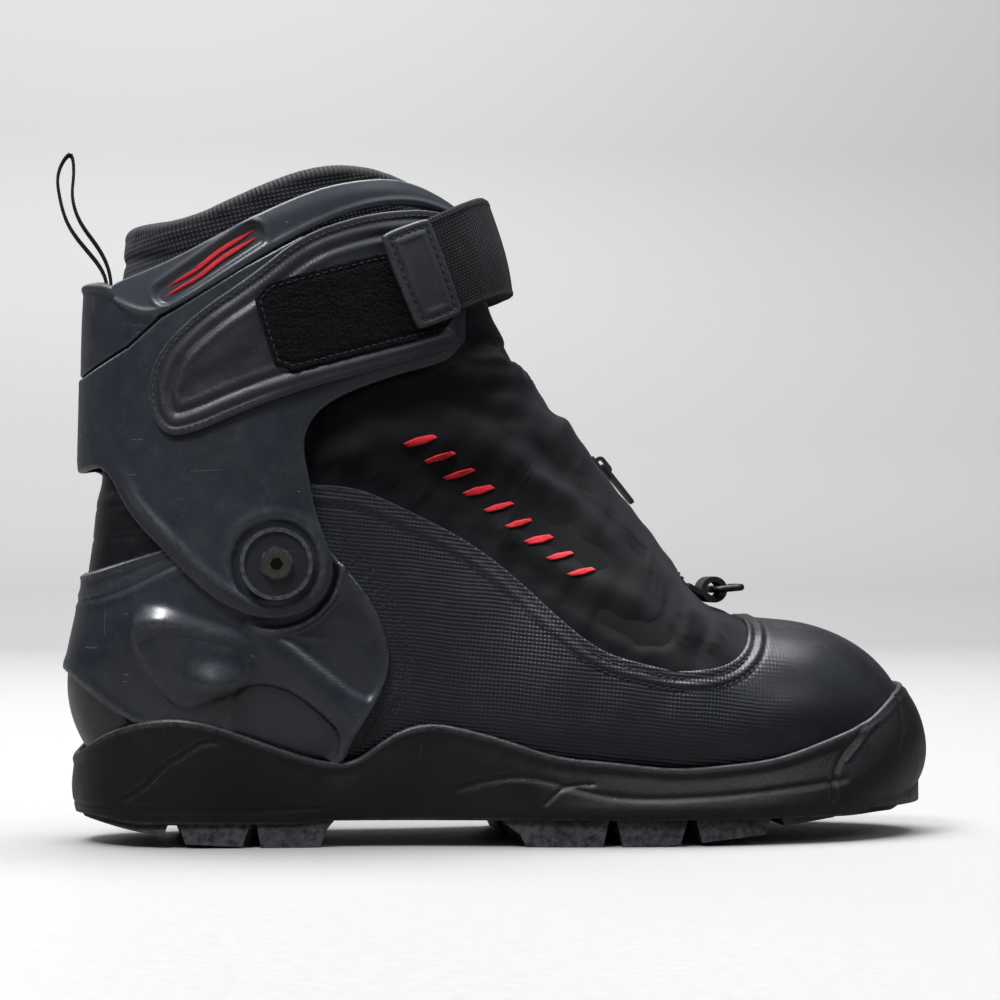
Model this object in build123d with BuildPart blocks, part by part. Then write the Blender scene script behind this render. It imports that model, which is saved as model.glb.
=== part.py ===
from build123d import *
import math
import os

# Backcountry cross country ski boot, right foot, size about EU 41 (mondo 260).
# Frame: origin on the ground directly under the ankle pivot, +X to the toe, +Z up, +Y to the medial side.
# The soft boot is one "last" surface given by fanned sections; the hinged cuff is a second surface
# given by level rings. Every shell, panel and lining is a layer between two offsets of one of these
# surfaces, trimmed by a side-view outline.

# ---------------------------------------------------------------- driving dimensions (mm)
# Layers, as wall thicknesses or as offsets outside (+) or inside (-) their surface
VAMP_T = 1.8                        # coated textile vamp
COVER_T = 1.2                       # stretch lace cover
COUNTER_IN, COUNTER_OUT = 0.2, 3.0  # moulded heel counter
LINER_IN, LINER_OUT = -6.4, -2.7    # foam foot liner
COLLAR_IN, COLLAR_OUT = -9.0, -1.2  # padded collar
CUFF_T = 2.5                        # cuff shell wall
FLAP_IN, FLAP_OUT = 0.1, 1.7        # stitched-on wrap flaps
PATCH_IN, PATCH_OUT = 1.85, 3.0     # loop pile patch
STRAP_IN, STRAP_OUT = 4.4, 6.2      # ankle strap webbing
TAB_OUT = 8.0                       # rubber strap end

# Sole
TREAD_TOP = 11.5
BOARD_Z, BOARD_T = 12.6, 2.2        # shank board underside and thickness
BOARD_GAP = 0.2                     # clearance below and above the board
BAR_X, BAR_Z, BAR_R = 203.0, 13.5, 2.4   # binding bar
BAR_LENGTH = 39.0
BAR_SEAT_LENGTH = 40.0
BAR_GAP = 26.0                      # free length of the bar between the sole walls

# Ankle pivot, an axis along Y
PIVOT_X, PIVOT_Z = 0.0, 90.5
CUFF_Y = 48.0                       # outside of the cuff at the pivot
BORE_R = 5.0                        # pivot bore in the cuff
BUSH_R = 4.95                       # bush outside radius
BUSH_Y = 40.2                       # inner end of the bushes
BOLT_R = 3.0
BOLT_Y = 38.4                       # inner end of the bolts
BOLT_HOLE_R = BOLT_R + 0.08
HEAD_Y = CUFF_Y + 2.25              # underside of the bolt heads
DISC_R = 11.5                       # pivot cover disc

HALF_RING_POINTS = 13               # points per half section of the last
CUFF_RING_POINTS = 28               # points per cuff ring
TRIM_REACH = 80                     # sideways reach that clears the whole boot
LATERAL, MEDIAL = TRIM_REACH, -TRIM_REACH   # extrusion from an XZ plane to one side

os.makedirs("parts", exist_ok=True)

# Stations of the last, fanned from the toe under the foot to the heel and up the shaft:
# back/bottom point (x, z), top/front point (x, z), share of height at the widest level,
# lateral and medial half width, sideways shift, lower and upper roundness.
LAST = [
    ((218.5, 24), (219.5, 38), 0.50, 7, 7, 8, 2.0, 2.0),
    ((216.0, 20), (216.5, 46), 0.45, 17, 17, 8, 2.2, 2.0),
    ((208.0, 17), (209.5, 56.5), 0.40, 26, 26, 7.5, 2.6, 2.0),
    ((195.0, 16), (196.5, 65.5), 0.36, 35, 34, 5.5, 3.0, 2.0),
    ((178.0, 16), (179.0, 70.8), 0.33, 42, 40, 3.5, 3.2, 2.1),
    ((158.0, 16), (159.5, 73.0), 0.32, 46, 44, 2, 3.2, 2.1),
    ((135.0, 16), (141.0, 81.5), 0.31, 48.5, 46, 0, 3.2, 2.0),
    ((108.0, 16), (126.5, 98.5), 0.31, 48, 44.5, 0, 3.2, 1.9),
    ((78.0, 16), (113.0, 115.0), 0.32, 45, 40.5, 0, 3.2, 1.9),
    ((48.0, 16), (103.5, 127.5), 0.34, 41.5, 37.5, 0, 3.2, 1.9),
    ((18.0, 16), (96.5, 137.0), 0.38, 40, 38, 0, 3.3, 2.0),
    ((-15.0, 16), (91.0, 146.0), 0.42, 40, 39, 0, 3.4, 2.0),
    ((-42.0, 18), (86.0, 154.0), 0.46, 40.5, 39.5, 0, 3.0, 2.1),
    ((-57.0, 30), (82.0, 161.0), 0.48, 40.8, 40, 0, 2.6, 2.1),
    ((-64.0, 50), (78.5, 168.0), 0.48, 41, 40.5, 0, 2.4, 2.1),
    ((-60.5, 74), (75.0, 175.0), 0.48, 41, 40.5, 0, 2.3, 2.1),
    ((-56.6, 97), (72.0, 182.0), 0.47, 41.5, 41, 0, 2.3, 2.1),
    ((-54.6, 120), (70.0, 190.0), 0.47, 42, 41.5, 0, 2.3, 2.1),
    ((-52.8, 145), (68.0, 199.0), 0.47, 42.5, 42, 0, 2.2, 2.1),
    ((-50.4, 168), (65.5, 207.0), 0.47, 43, 42.5, 0, 2.2, 2.1),
    ((-47.8, 188), (62.5, 214.5), 0.47, 43, 42.5, 0, 2.2, 2.1),
    ((-46.0, 212), (58.5, 230.0), 0.47, 42.5, 42, 0, 2.2, 2.1),
]
# Slices of the last (first station, end station)
WHOLE_FOOT = (0, 16)
BEHIND_TOE = (3, 16)
REAR_FOOT = (7, 19)
SHAFT = (12, None)
UPPER_SHAFT = (14, None)

# Level rings of the cuff: height, back x, front x, half width, roundness.
CUFF = [
    (60, -59.0, 60.0, 46.8, 2.35),
    (80, -61.0, 62.0, 47.8, 2.35),
    (100, -61.9, 66.0, 48.0, 2.35),
    (125, -61.8, 72.0, 47.8, 2.3),
    (150, -61.3, 75.5, 47.4, 2.25),
    (170, -60.9, 76.5, 47.0, 2.2),
    (190, -59.5, 74.5, 46.5, 2.15),
    (205, -57.5, 70.0, 46.0, 2.1),
    (222, -54.5, 63.5, 45.0, 2.1),
]

# ---------------------------------------------------------------- shared edges in side view (x, z)
# Edge between vamp and lace cover, from the ankle forward to the toe end of the cover
SEAM = [(12.9, 115.7), (25.5, 114.7), (40.9, 108.9), (60.3, 99.2), (77.7, 86.6), (93.2, 72.1),
        (104.8, 63.4), (118.4, 58.6), (133.8, 56.6), (143.5, 59.5), (151.3, 65.4), (154.6, 71.2)]
# Front edge of the heel counter, downwards
COUNTER_FRONT = [(11.7, 103.0), (17.4, 95.3), (27.1, 83.8), (34.8, 70.2), (36.7, 60.6), (32.9, 47.1),
                 (25.2, 33.6), (21.0, 20.0)]
# Lower edge of the cuff shell, from the back around the pivot to the front
CUFF_LOW = [(-75.0, 120.2), (-62.1, 120.2), (-55.9, 121.2), (-50.2, 112.6), (-36.8, 95.3),
            (-25.2, 83.8), (-13.7, 76.1), (-2.2, 73.2), (9.3, 75.1), (17.0, 81.9), (18.5, 91.5),
            (15.1, 101.1), (12.2, 110.6), (10.3, 120.2), (9.3, 129.8), (12.2, 136.6), (20.8, 143.3),
            (32.3, 148.1), (47.7, 152.9), (59.2, 157.7), (62.7, 161.5)]
# Edge between the cuff shell and the spine and collar band, back to front
RIM_LOW = [(-75.0, 150.5), (-60.7, 151.1), (-46.3, 159.7), (-36.7, 168.4), (-11.7, 183.8),
           (7.6, 194.4), (26.8, 201.1), (44.1, 204.0), (53.7, 204.0)]
# Top edge of the collar band, back to front
RIM_TOP = [(-36.6, 171.6), (-33.7, 174.4), (-17.3, 187.8), (-1.9, 197.5), (11.6, 204.3),
           (30.8, 211.0), (44.3, 212.4), (54.0, 210.8), (61.5, 207.5), (62.5, 203.0)]
# Upper edge of the midsole and rand, from the heel around the toe bumper to its underside
SOLE_WAVE = [(-75.0, 24.5), (-63.5, 26.5), (-54.2, 34.5), (-42.5, 39.9), (-30.7, 41.3), (-19.2, 39.4),
             (-7.9, 35.5), (7.5, 30.0), (17.4, 27.5), (25.1, 27.8), (32.9, 32.6), (40.6, 37.4),
             (50.1, 39.4), (59.9, 38.0), (75.3, 33.7), (88.8, 29.4), (108.2, 26.9), (127.3, 25.0),
             (146.4, 25.9), (161.9, 27.8), (181.4, 33.7), (198.0, 40.0), (208.0, 46.5), (213.5, 51.0),
             (217.0, 49.5), (222.5, 41.0), (225.5, 30.0), (226.8, 19.0), (222.5, 13.0), (212.5, 9.2)]
# Sole outline seen from above (x, y), lateral side first
SOLE_PLAN = [(-62.5, 0), (-58, -17), (-50, -26), (-35, -33.5), (-15, -36.5), (10, -37.5), (40, -39),
             (70, -44.5), (100, -50), (130, -52.2), (150, -51.5), (170, -48), (190, -41), (205, -32),
             (216, -20), (224, -6), (226.5, 7), (224, 19), (216, 31), (205, 39), (190, 45), (170, 49),
             (150, 49.5), (130, 48.2), (100, 44), (70, 38), (40, 34.5), (10, 34.5), (-15, 35),
             (-35, 32.5), (-50, 26), (-58, 17)]


# ---------------------------------------------------------------- faces
def spline_face(plane, points):
    with BuildSketch(plane) as face:
        with BuildLine():
            Spline(*points, periodic=True)
        make_face()
    return face.sketch


def polygon_face(plane, points):
    with BuildSketch(plane) as face:
        with BuildLine():
            Polyline(*points, close=True)
        make_face()
    return face.sketch


def side_view(points, y=0):
    """A closed side-view outline at y. Its positive extrusion runs to the lateral side."""
    return polygon_face(Plane.XZ.offset(-y), points)


def sole_face(z, x_scale=1, y_scale=1, x_shift=0):
    """The sole outline at height z, scaled about the origin and then shifted along X."""
    return spline_face(Plane.XY.offset(z), [(x * x_scale + x_shift, y * y_scale) for x, y in SOLE_PLAN])


def superellipse(ratio, roundness):
    """A sine or cosine bent towards a squarer or slimmer oval; roundness 2 is a plain ellipse."""
    return math.copysign(abs(ratio) ** (2.0 / roundness), ratio)


def last_face(station, offset):
    """One closed section of the last, grown by offset."""
    (back_x, back_z), (top_x, top_z), level, lateral, medial, shift, low_round, high_round = station
    height = math.hypot(top_x - back_x, top_z - back_z)
    up_x, up_z = (top_x - back_x) / height, (top_z - back_z) / height
    low, high = level * height + offset, (1 - level) * height + offset
    halves = []
    for side, width in ((-1, lateral + offset), (1, medial + offset)):
        half = []
        for k in range(HALF_RING_POINTS):
            angle = -math.pi / 2 + math.pi * k / (HALF_RING_POINTS - 1)
            roundness, reach = (low_round, low) if angle < 0 else (high_round, high)
            across = shift
            if 0 < k < HALF_RING_POINTS - 1:
                across += side * width * superellipse(math.cos(angle), roundness)
            half.append((across, level * height + reach * superellipse(math.sin(angle), roundness)))
        halves.append(half)
    plane = Plane(origin=(back_x, 0, back_z), x_dir=(0, 1, 0), z_dir=(up_z, 0, -up_x))
    return spline_face(plane, halves[0] + halves[1][-2:0:-1])


def last_faces(offset, first=0, end=None):
    return [last_face(station, offset) for station in LAST[first:end]]


def cuff_face(ring, offset):
    """One level ring of the cuff, grown by offset."""
    z, back_x, front_x, half_width, roundness = ring
    middle_x, half_length = (back_x + front_x) / 2, (front_x - back_x) / 2 + offset
    half_width = half_width + offset
    angles = [2 * math.pi * k / CUFF_RING_POINTS for k in range(CUFF_RING_POINTS)]
    loop = [(middle_x + half_length * superellipse(math.cos(angle), roundness),
             half_width * superellipse(math.sin(angle), roundness)) for angle in angles]
    return spline_face(Plane.XY.offset(z), loop)


def cuff_faces(offset, first=0):
    return [cuff_face(ring, offset) for ring in CUFF[first:]]


# ---------------------------------------------------------------- steps inside a BuildPart block
def layer(faces, outer, inner, *span):
    """The wall between two offsets of the last or the cuff."""
    loft(sections=faces(outer, *span))
    loft(sections=faces(inner, *span), mode=Mode.SUBTRACT)


def trim(outline, reach=TRIM_REACH):
    extrude(side_view(outline), amount=reach, both=True, mode=Mode.INTERSECT)


def cut_pivot_hole(radius):
    """A round hole through both sides of the boot on the ankle axis."""
    with BuildSketch(Plane.XZ.offset(-60)) as hole:
        with Locations((PIVOT_X, PIVOT_Z)):
            Circle(radius)
    extrude(hole.sketch, amount=120, mode=Mode.SUBTRACT)


# ---------------------------------------------------------------- whole pieces
def save(part, name):
    part.label = name
    export_step(part, f"parts/{name}.step")


def last_panel(name, outer, inner, span, outline):
    with BuildPart() as panel:
        layer(last_faces, outer, inner, *span)
        trim(outline)
    save(panel.part, name)


def cuff_panel(name, outer, inner, outline, first=3):
    with BuildPart() as panel:
        layer(cuff_faces, outer, inner, first)
        trim(outline)
    save(panel.part, name)


def one_side_layer(outer, inner, outline, y, reach):
    """A cuff layer kept only from y outwards; reach is LATERAL or MEDIAL."""
    with BuildPart() as panel:
        layer(cuff_faces, outer, inner, 3)
        extrude(side_view(outline, y), amount=reach, mode=Mode.INTERSECT)
    return panel.part


# ================================================================ SOLE
# Midsole and rand: the side wall with the wavy top edge, the toe bumper and the arch.
with BuildPart() as midsole_rand:
    extrude(sole_face(8.5), amount=46)
    trim([(212.5, 9.2), (194, 9.0), (186, TREAD_TOP), (-57.5, TREAD_TOP), (-75, 18.1)] + SOLE_WAVE)
    loft(sections=last_faces(0.35, *WHOLE_FOOT), mode=Mode.SUBTRACT)
    # room for the shank board
    extrude(sole_face(BOARD_Z - BOARD_GAP, 0.955, 0.80, 0.5), amount=BOARD_T + 2 * BOARD_GAP,
            mode=Mode.SUBTRACT)
    # toe recess for the binding, open downwards, and the two bar seats
    with BuildSketch(Plane.XY) as toe_recess:
        with Locations((BAR_X, 0)):
            RectangleRounded(15, BAR_GAP, 3)
    extrude(amount=20.5, mode=Mode.SUBTRACT)
    with BuildSketch(Plane.XZ.offset(-BAR_SEAT_LENGTH / 2)) as bar_seat:
        with Locations((BAR_X, BAR_Z)):
            Circle(BAR_R + 0.03)
    extrude(amount=BAR_SEAT_LENGTH, mode=Mode.SUBTRACT)
save(midsole_rand.part, "midsole_rand")

# Tread: base sheet and cleats, a guide channel along the middle.
# Side views of the cleats (x, z), each from its rear root to its front root
LUGS = [
    # heel
    [(-62, 12.6), (-59, 9.0), (-47, 6.0), (-34.5, 3.6), (-32.0, 10.2)],
    [(-30.5, 10.2), (-27.5, 1.3), (-9.5, 0.5), (-6.8, 10.2)],
    [(-5.6, 10.2), (-3.6, 0.0), (15.0, 0.0), (17.5, 6.0), (21.0, 10.2)],
    # forefoot
    [(70.0, 10.2), (78.5, 4.0), (80.5, 0.0), (104.5, 0.0), (107.0, 10.2)],
    [(108.6, 10.2), (111.0, 0.0), (129.5, 0.6), (132.4, 10.2)],
    [(134.2, 10.2), (136.6, 1.2), (157.5, 3.4), (160.6, 10.4)],
    [(162.2, 10.4), (164.6, 6.0), (182.0, 8.2), (184.5, 10.5)],
]
SHEET_TOP = TREAD_TOP - 0.1
SHEET_BACK_X = -57.6
# Middles (x, y) of the cross grooves
GROOVES = [(92, 27), (92, -29), (120, 28), (120, -30), (147, 28), (147, -29), (-18, 19), (-18, -20)]
with BuildPart() as outsole:
    # the sole outline, shrunk about x = 62
    tread_plan = sole_face(-1, 0.985, 0.965, 62 * (1 - 0.985))
    extrude(tread_plan, amount=13)
    trim([(-64, 13.3), (-64, 12.0), (-60, 10.2), (184.6, 10.2), (185.4, SHEET_TOP),
          (SHEET_BACK_X, SHEET_TOP)])
    for lug in LUGS:
        # the cleat's two upper corners are sunk into the base sheet
        cleat = lug + [(lug[-1][0], 10.8), (max(lug[0][0], SHEET_BACK_X), 11.0)]
        extrude(side_view(cleat), amount=54, both=True)
    extrude(tread_plan, amount=30, both=True, mode=Mode.INTERSECT)
    # guide channel, closed at its heel end so that the front heel cleat is one flat
    channel = [(6, -8), (4, -6), (4, 6), (6, 8), (190, 8), (190, -8)]
    extrude(polygon_face(Plane.XY.offset(-2), channel), amount=2 + 6.5, mode=Mode.SUBTRACT)
    # cross grooves that split the cleats into blocks on each side
    with BuildSketch(Plane.XY.offset(-2)) as side_cuts:
        with Locations(*GROOVES):
            Rectangle(22, 3.0)
    extrude(amount=2 + 5.0, mode=Mode.SUBTRACT)
save(outsole.part, "outsole")

with BuildPart() as toe_bar:
    with BuildSketch(Plane.XZ.offset(-BAR_LENGTH / 2)) as bar_round:
        with Locations((BAR_X, BAR_Z)):
            Circle(BAR_R)
    extrude(amount=BAR_LENGTH)
    chamfer(toe_bar.edges().filter_by(GeomType.CIRCLE), 0.4)
save(toe_bar.part, "toe_bar")

with BuildPart() as shank_board:
    extrude(sole_face(BOARD_Z, 0.95, 0.78, 0.5), amount=BOARD_T)
    # the toe end is cut away around the binding bar
    with BuildSketch(Plane.XY.offset(10)) as board_notch:
        with Locations((BAR_X, 0)):
            Rectangle(19, 44)
        with Locations((BAR_X + 14, 0)):
            Rectangle(20, 44)
    extrude(amount=8, mode=Mode.SUBTRACT)
    with Locations(*[Location((x, 0, BOARD_Z + BOARD_T)) for x in (150, 60, -30)]):
        Hole(radius=2.0, depth=4)
save(shank_board.part, "shank_board")

# ================================================================ UPPER
last_panel("vamp", 0.0, -VAMP_T, WHOLE_FOOT,
           [(218.1, 4), (218.1, 95), (155.2, 95)] + SEAM[::-1] + [(3.5, 117.0)]
           + [(x - 8.5, z) for x, z in COUNTER_FRONT] + [(12, 4)])

last_panel("lace_cover", 0.0, -COVER_T, BEHIND_TOE,
           [(154.2, 95), (154.2, 72.3)] + [(x - 0.3, z + 0.7) for x, z in SEAM[-2:1:-1]]
           + [(40.9, 109.7), (100.5, 135.2), (140, 140)])

with BuildPart() as rear_quarter:
    layer(last_faces, 0.0, -VAMP_T, *REAR_FOOT)
    trim([(11.2, 16.6), (12.0, 20)] + [(x - 9.1, z) for x, z in COUNTER_FRONT[-2::-1]]
         + [(-8, 108.5), (-30, 106), (-75, 102), (-75, 16.6)])
    # windows for the pivot nuts
    cut_pivot_hole(9.6)
save(rear_quarter.part, "rear_quarter")

with BuildPart() as heel_counter:
    layer(last_faces, COUNTER_OUT, COUNTER_IN, *REAR_FOOT)
    # the lower edge follows the sole just above its wave
    trim(COUNTER_FRONT[:-1] + [(25.2, 33.0), (21.5, 28.2), (7.5, 30.3)]
         + [(x, z + 0.35) for x, z in SOLE_WAVE[6:0:-1]]
         + [(-75, 26.5), (-75, 86.2), (-59.7, 86.6), (-48, 90.5), (-36.3, 94.4), (-20, 101),
            (-6, 107.5), (6, 108)])
    cut_pivot_hole(BUSH_R + 0.05)
save(heel_counter.part, "heel_counter")

# ================================================================ INSIDE THE FOOT
# The liner is lofted in two runs that share station 12; its toe end is closed.
with BuildPart() as foot_liner:
    loft(sections=last_faces(LINER_OUT, 1, 13))
    loft(sections=last_faces(LINER_OUT, 12, 19))
    loft(sections=last_faces(LINER_IN, 2, 13), mode=Mode.SUBTRACT)
    loft(sections=last_faces(LINER_IN, 12, 19), mode=Mode.SUBTRACT)
    trim([(232, 4), (232, 95), (156, 95), (155.5, 69.5)] + [(x, z - 1.5) for x, z in SEAM[-2::-1]]
         + [(-8, 113), (-30, 108), (-75, 103), (-75, 4)])
save(foot_liner.part, "foot_liner")

with BuildPart() as footbed:
    loft(sections=last_faces(-7.8, 2, 16))
    with BuildSketch(Plane.XY.offset(22.6)) as footbed_slab:
        with Locations((80, 0)):
            Rectangle(320, 120)
    extrude(amount=4.2, mode=Mode.INTERSECT)
save(footbed.part, "footbed")

with BuildPart() as tongue:
    layer(last_faces, -6.5, -10.0, *BEHIND_TOE)
    trim([(153.0, 95), (153.0, 68), (144, 64.5), (120, 72), (88, 104), (96.3, 133.2), (104, 136.8),
          (140, 140)])
    # a strip along the middle
    trim([(200, 0), (200, 100), (86, 200), (60, 200), (60, 0)], reach=24)
save(tongue.part, "tongue")

# The instep line of the last is close to straight, so the lacing and the zip share one tilted plane.
INSTEP_LOW, INSTEP_HIGH = LAST[6][1], LAST[9][1]
INSTEP_LENGTH = math.hypot(INSTEP_HIGH[0] - INSTEP_LOW[0], INSTEP_HIGH[1] - INSTEP_LOW[1])
UP_X = (INSTEP_HIGH[0] - INSTEP_LOW[0]) / INSTEP_LENGTH
UP_Z = (INSTEP_HIGH[1] - INSTEP_LOW[1]) / INSTEP_LENGTH
INSTEP_UP = (UP_X, 0, UP_Z)
INSTEP_NORMAL = (UP_Z, 0, -UP_X)    # forwards and up


def on_instep(along, out, y=0):
    """The point at a distance up the instep line, out from it and sideways."""
    return (INSTEP_LOW[0] + UP_X * along + UP_Z * out, y, INSTEP_LOW[1] + UP_Z * along - UP_X * out)


def instep_plane(along, out):
    """A plane lying on the instep, its X up the line and its normal outwards."""
    return Plane(origin=on_instep(along, out), x_dir=INSTEP_UP, z_dir=INSTEP_NORMAL)


def on_last(along, y, offset):
    """A point of the last grown by offset, across from the instep line at the given distance."""
    stations = LAST[6:11]
    x = INSTEP_LOW[0] + UP_X * along
    k = next((i for i in range(len(stations) - 1) if stations[i + 1][1][0] <= x), len(stations) - 2)
    below, above = stations[k], stations[k + 1]
    share = (below[1][0] - x) / (below[1][0] - above[1][0])

    def mix(start, end):
        return [p + (q - p) * share for p, q in zip(start, end)]

    back_x, back_z = mix(below[0], above[0])
    top_x, top_z = mix(below[1], above[1])
    level, lateral, medial, shift, _, roundness = mix(below[2:], above[2:])
    height = math.hypot(top_x - back_x, top_z - back_z)
    width = (lateral if y < shift else medial) + offset
    reach = (1 - level) * height + offset
    up = level * height + reach * (1 - (abs(y - shift) / width) ** roundness) ** (1 / roundness)
    return (back_x + (top_x - back_x) / height * up, y, back_z + (top_z - back_z) / height * up)


def last_normal(along, y):
    """The outward normal of the last there, from two short steps over its surface."""
    start = Vector(*on_last(along, y, 0))
    step_along = Vector(*on_last(along + 1, y, 0)) - start
    step_across = Vector(*on_last(along, y + 0.5, 0)) - start
    normal = step_along.cross(step_across).normalized()
    return normal if normal.X > 0 else normal * -1


# Side view of the eyestay: distance up the instep line, distance out from it
EYESTAY = [(-8, -4.8), (58, -6.2), (50, -22), (24, -30), (-4, -15)]
with BuildPart() as eyestay:
    layer(last_faces, -5.1, -6.0, 4, 12)
    trim([on_instep(along, out)[::2] for along, out in EYESTAY])
    # the gap between the two facings
    extrude(side_view([(60, 40), (160, 40), (160, 150), (60, 150)]), amount=10, both=True,
            mode=Mode.SUBTRACT)
save(eyestay.part, "eyestay")

LACE_ROWS = [4, 15, 26, 37, 48]     # distances up the instep line
HOOK_Y = 15.0
HOOK_SEAT = -4.75                   # offset from the last

with BuildPart() as lace_hooks:
    for row in LACE_ROWS:
        for y in (-HOOK_Y, HOOK_Y):
            normal = last_normal(row, y)
            seat = Vector(*on_last(row, y, HOOK_SEAT))
            with BuildSketch(Plane(origin=seat, x_dir=(0, 1, 0), z_dir=normal)) as post:
                Circle(1.0)
            extrude(amount=1.7)
            with BuildSketch(Plane(origin=seat + normal * 1.6, x_dir=(0, 1, 0), z_dir=normal)) as head:
                Circle(1.5)
            extrude(amount=0.45)
save(lace_hooks.part, "lace_hooks")

# The lace turns around one hook per row, on alternate sides, starting on the lateral side.
LACE_TURN_Y, LACE_LEG_Y = 19.2, 11.0
with BuildPart() as lace:
    lace_points = []
    for i, row in enumerate(LACE_ROWS):
        side = -1 if i % 2 == 0 else 1
        lace_points.append(on_last(row - 4.0, side * LACE_LEG_Y, -3.55))
        lace_points.append(on_last(row, side * LACE_TURN_Y, -3.6))
        lace_points.append(on_last(row + 4.0, side * LACE_LEG_Y, -3.55))
        lace_points.append(on_last(row + 5.5, 0, -3.6))
    with BuildLine() as lace_path:
        Spline(*lace_points[:-1])
    with BuildSketch(Plane(origin=lace_path.line @ 0, z_dir=lace_path.line % 0)) as lace_round:
        Circle(0.8)
    sweep()
save(lace.part, "lace")

# ================================================================ ZIP ON THE LACE COVER
TAPE_LENGTH = 57
SLIDER_AT = 50.0                    # distance up the instep line
BAIL_WIDTH = 2.2
PIN_OUT = 5.15                      # pin of the pull, out from the instep line
PIN_LENGTH, PIN_R = 5.2, 0.6

with BuildPart() as zip_tape:
    with BuildSketch(instep_plane(1.5, 0.75)) as tape_face:
        with Locations((TAPE_LENGTH / 2, 0)):
            Rectangle(TAPE_LENGTH, 13)
    extrude(amount=0.7)
save(zip_tape.part, "zip_tape")

with BuildPart() as zip_chain:
    with BuildSketch(instep_plane(0, 1.5)) as teeth:
        with GridLocations(1.9, 0, 28, 1):
            with Locations((29.5, 0)):
                RectangleRounded(1.1, 4.2, 0.3)
    extrude(amount=1.2)
save(zip_chain.part, "zip_chain")

with BuildPart() as zip_slider:
    slider_plan = [(-5, -2.8), (2, -4), (5, -4), (5, 4), (2, 4), (-5, 2.8)]
    extrude(polygon_face(instep_plane(SLIDER_AT, 2.9), slider_plan), amount=1.3)
    # side cheeks reach down past the teeth
    with BuildSketch(instep_plane(SLIDER_AT, 1.6)) as cheeks:
        with Locations((0, 3.0), (0, -3.0)):
            Rectangle(8.4, 1.2)
    extrude(amount=1.4)
    # bail for the pull
    with BuildSketch(Plane(origin=on_instep(SLIDER_AT, 4.15, -BAIL_WIDTH / 2), x_dir=INSTEP_UP,
                           z_dir=(0, 1, 0))) as bail_side:
        with Locations((0, 1.2)):
            SlotOverall(7.0, 3.6)
        with Locations((0, 1.0)):
            SlotOverall(4.4, 1.7, mode=Mode.SUBTRACT)
    extrude(amount=BAIL_WIDTH)
save(zip_slider.part, "zip_slider")

# Plan of the pull: distance up the instep line from the pin, y
PULL_PLAN = [(0.5, -3.6), (0.5, -2.3), (-4.6, -2.3), (-4.6, 2.3), (0.5, 2.3), (0.5, 3.6),
             (-9, 3.4), (-14.5, 3.0), (-16, 1.8), (-16, -1.8), (-14.5, -3.0), (-9, -3.4)]
with BuildPart() as zip_pull:
    with BuildSketch(Plane(origin=on_instep(SLIDER_AT, PIN_OUT), x_dir=INSTEP_UP,
                           z_dir=(0, -1, 0)).offset(-PIN_LENGTH / 2)) as pin_round:
        Circle(PIN_R)
    extrude(amount=PIN_LENGTH)
    # the tab hangs forward and down the instep, clear of the slider body
    extrude(polygon_face(instep_plane(SLIDER_AT, PIN_OUT).offset(-PIN_R), PULL_PLAN), amount=2 * PIN_R)
save(zip_pull.part, "zip_pull")

# ================================================================ GAITER RING AT THE TOE
RING_X, RING_Z = 150.5, 82.0
TAB_WIDTH = 12

with BuildPart() as gaiter_tab:
    with BuildSketch(Plane.XZ.offset(-TAB_WIDTH / 2)) as tab_side:
        with Locations((RING_X, RING_Z)):
            Circle(4.4)
            Circle(2.6, mode=Mode.SUBTRACT)
        # tail from the eye back onto the boot
        with BuildLine():
            Polyline((RING_X + 0.5, RING_Z - 4.35), (RING_X + 0.5, RING_Z - 2.7),
                     (RING_X - 8.5, RING_Z + 2.2), (RING_X - 9.0, RING_Z + 0.5), close=True)
        make_face()
    extrude(amount=TAB_WIDTH)
save(gaiter_tab.part, "gaiter_tab")

with BuildPart() as gaiter_ring:
    with BuildLine() as ring_path:
        FilletPolyline((RING_X, -9.5, RING_Z), (RING_X + 9.0, -8.0, RING_Z + 0.8),
                       (RING_X + 9.0, 8.0, RING_Z + 0.8), (RING_X, 9.5, RING_Z),
                       radius=2.2, close=True)
    with BuildSketch(Plane(origin=ring_path.line @ 0, z_dir=ring_path.line % 0)) as ring_wire:
        Circle(1.15)
    sweep()
save(gaiter_ring.part, "gaiter_ring")

# ================================================================ CUFF
with BuildPart() as cuff_shell:
    layer(cuff_faces, 0.0, -CUFF_T)
    trim(CUFF_LOW + [(64, 176), (60.5, 194), (54.5, 203.3)] + [(x, z - 0.3) for x, z in RIM_LOW[::-1]])
    cut_pivot_hole(BORE_R)
save(cuff_shell.part, "cuff_shell")

cuff_panel("cuff_spine", -0.6, -2.9,
           [(x, z + 0.3) for x, z in RIM_LOW[:4]]
           + [(-37.2, 171.2), (-43.7, 173.0), (-49.6, 178.5), (-55.6, 181.5), (-75, 181.5)])

cuff_panel("collar_band", -0.2, -2.2,
           [(-36.2, 169.2)] + [(x, z + 0.3) for x, z in RIM_LOW[4:]] + [(62, 203)] + RIM_TOP[::-1])

# Side view of both wrap flaps: lower edge to the front, then upper edge to the back
FLAP = [(-40.6, 147.1), (-40.4, 142.0), (-38.7, 135.6), (-33.9, 130.3), (-25.2, 131.8), (-8.0, 139.4),
        (11.2, 146.2), (32.3, 151.9), (57.3, 159.6), (61.5, 161.2), (63.0, 163.5),
        (61.0, 198.0), (58.5, 202.6), (53.0, 203.2), (44.0, 203.2), (26.8, 200.3), (7.6, 193.6),
        (-8.0, 181.7), (-25.2, 170.1), (-36.8, 158.6)]
save(one_side_layer(FLAP_OUT, FLAP_IN, FLAP, -3.0, LATERAL), "lateral_flap")
save(one_side_layer(FLAP_OUT, FLAP_IN, FLAP, 3.0, MEDIAL), "medial_flap")

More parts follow.
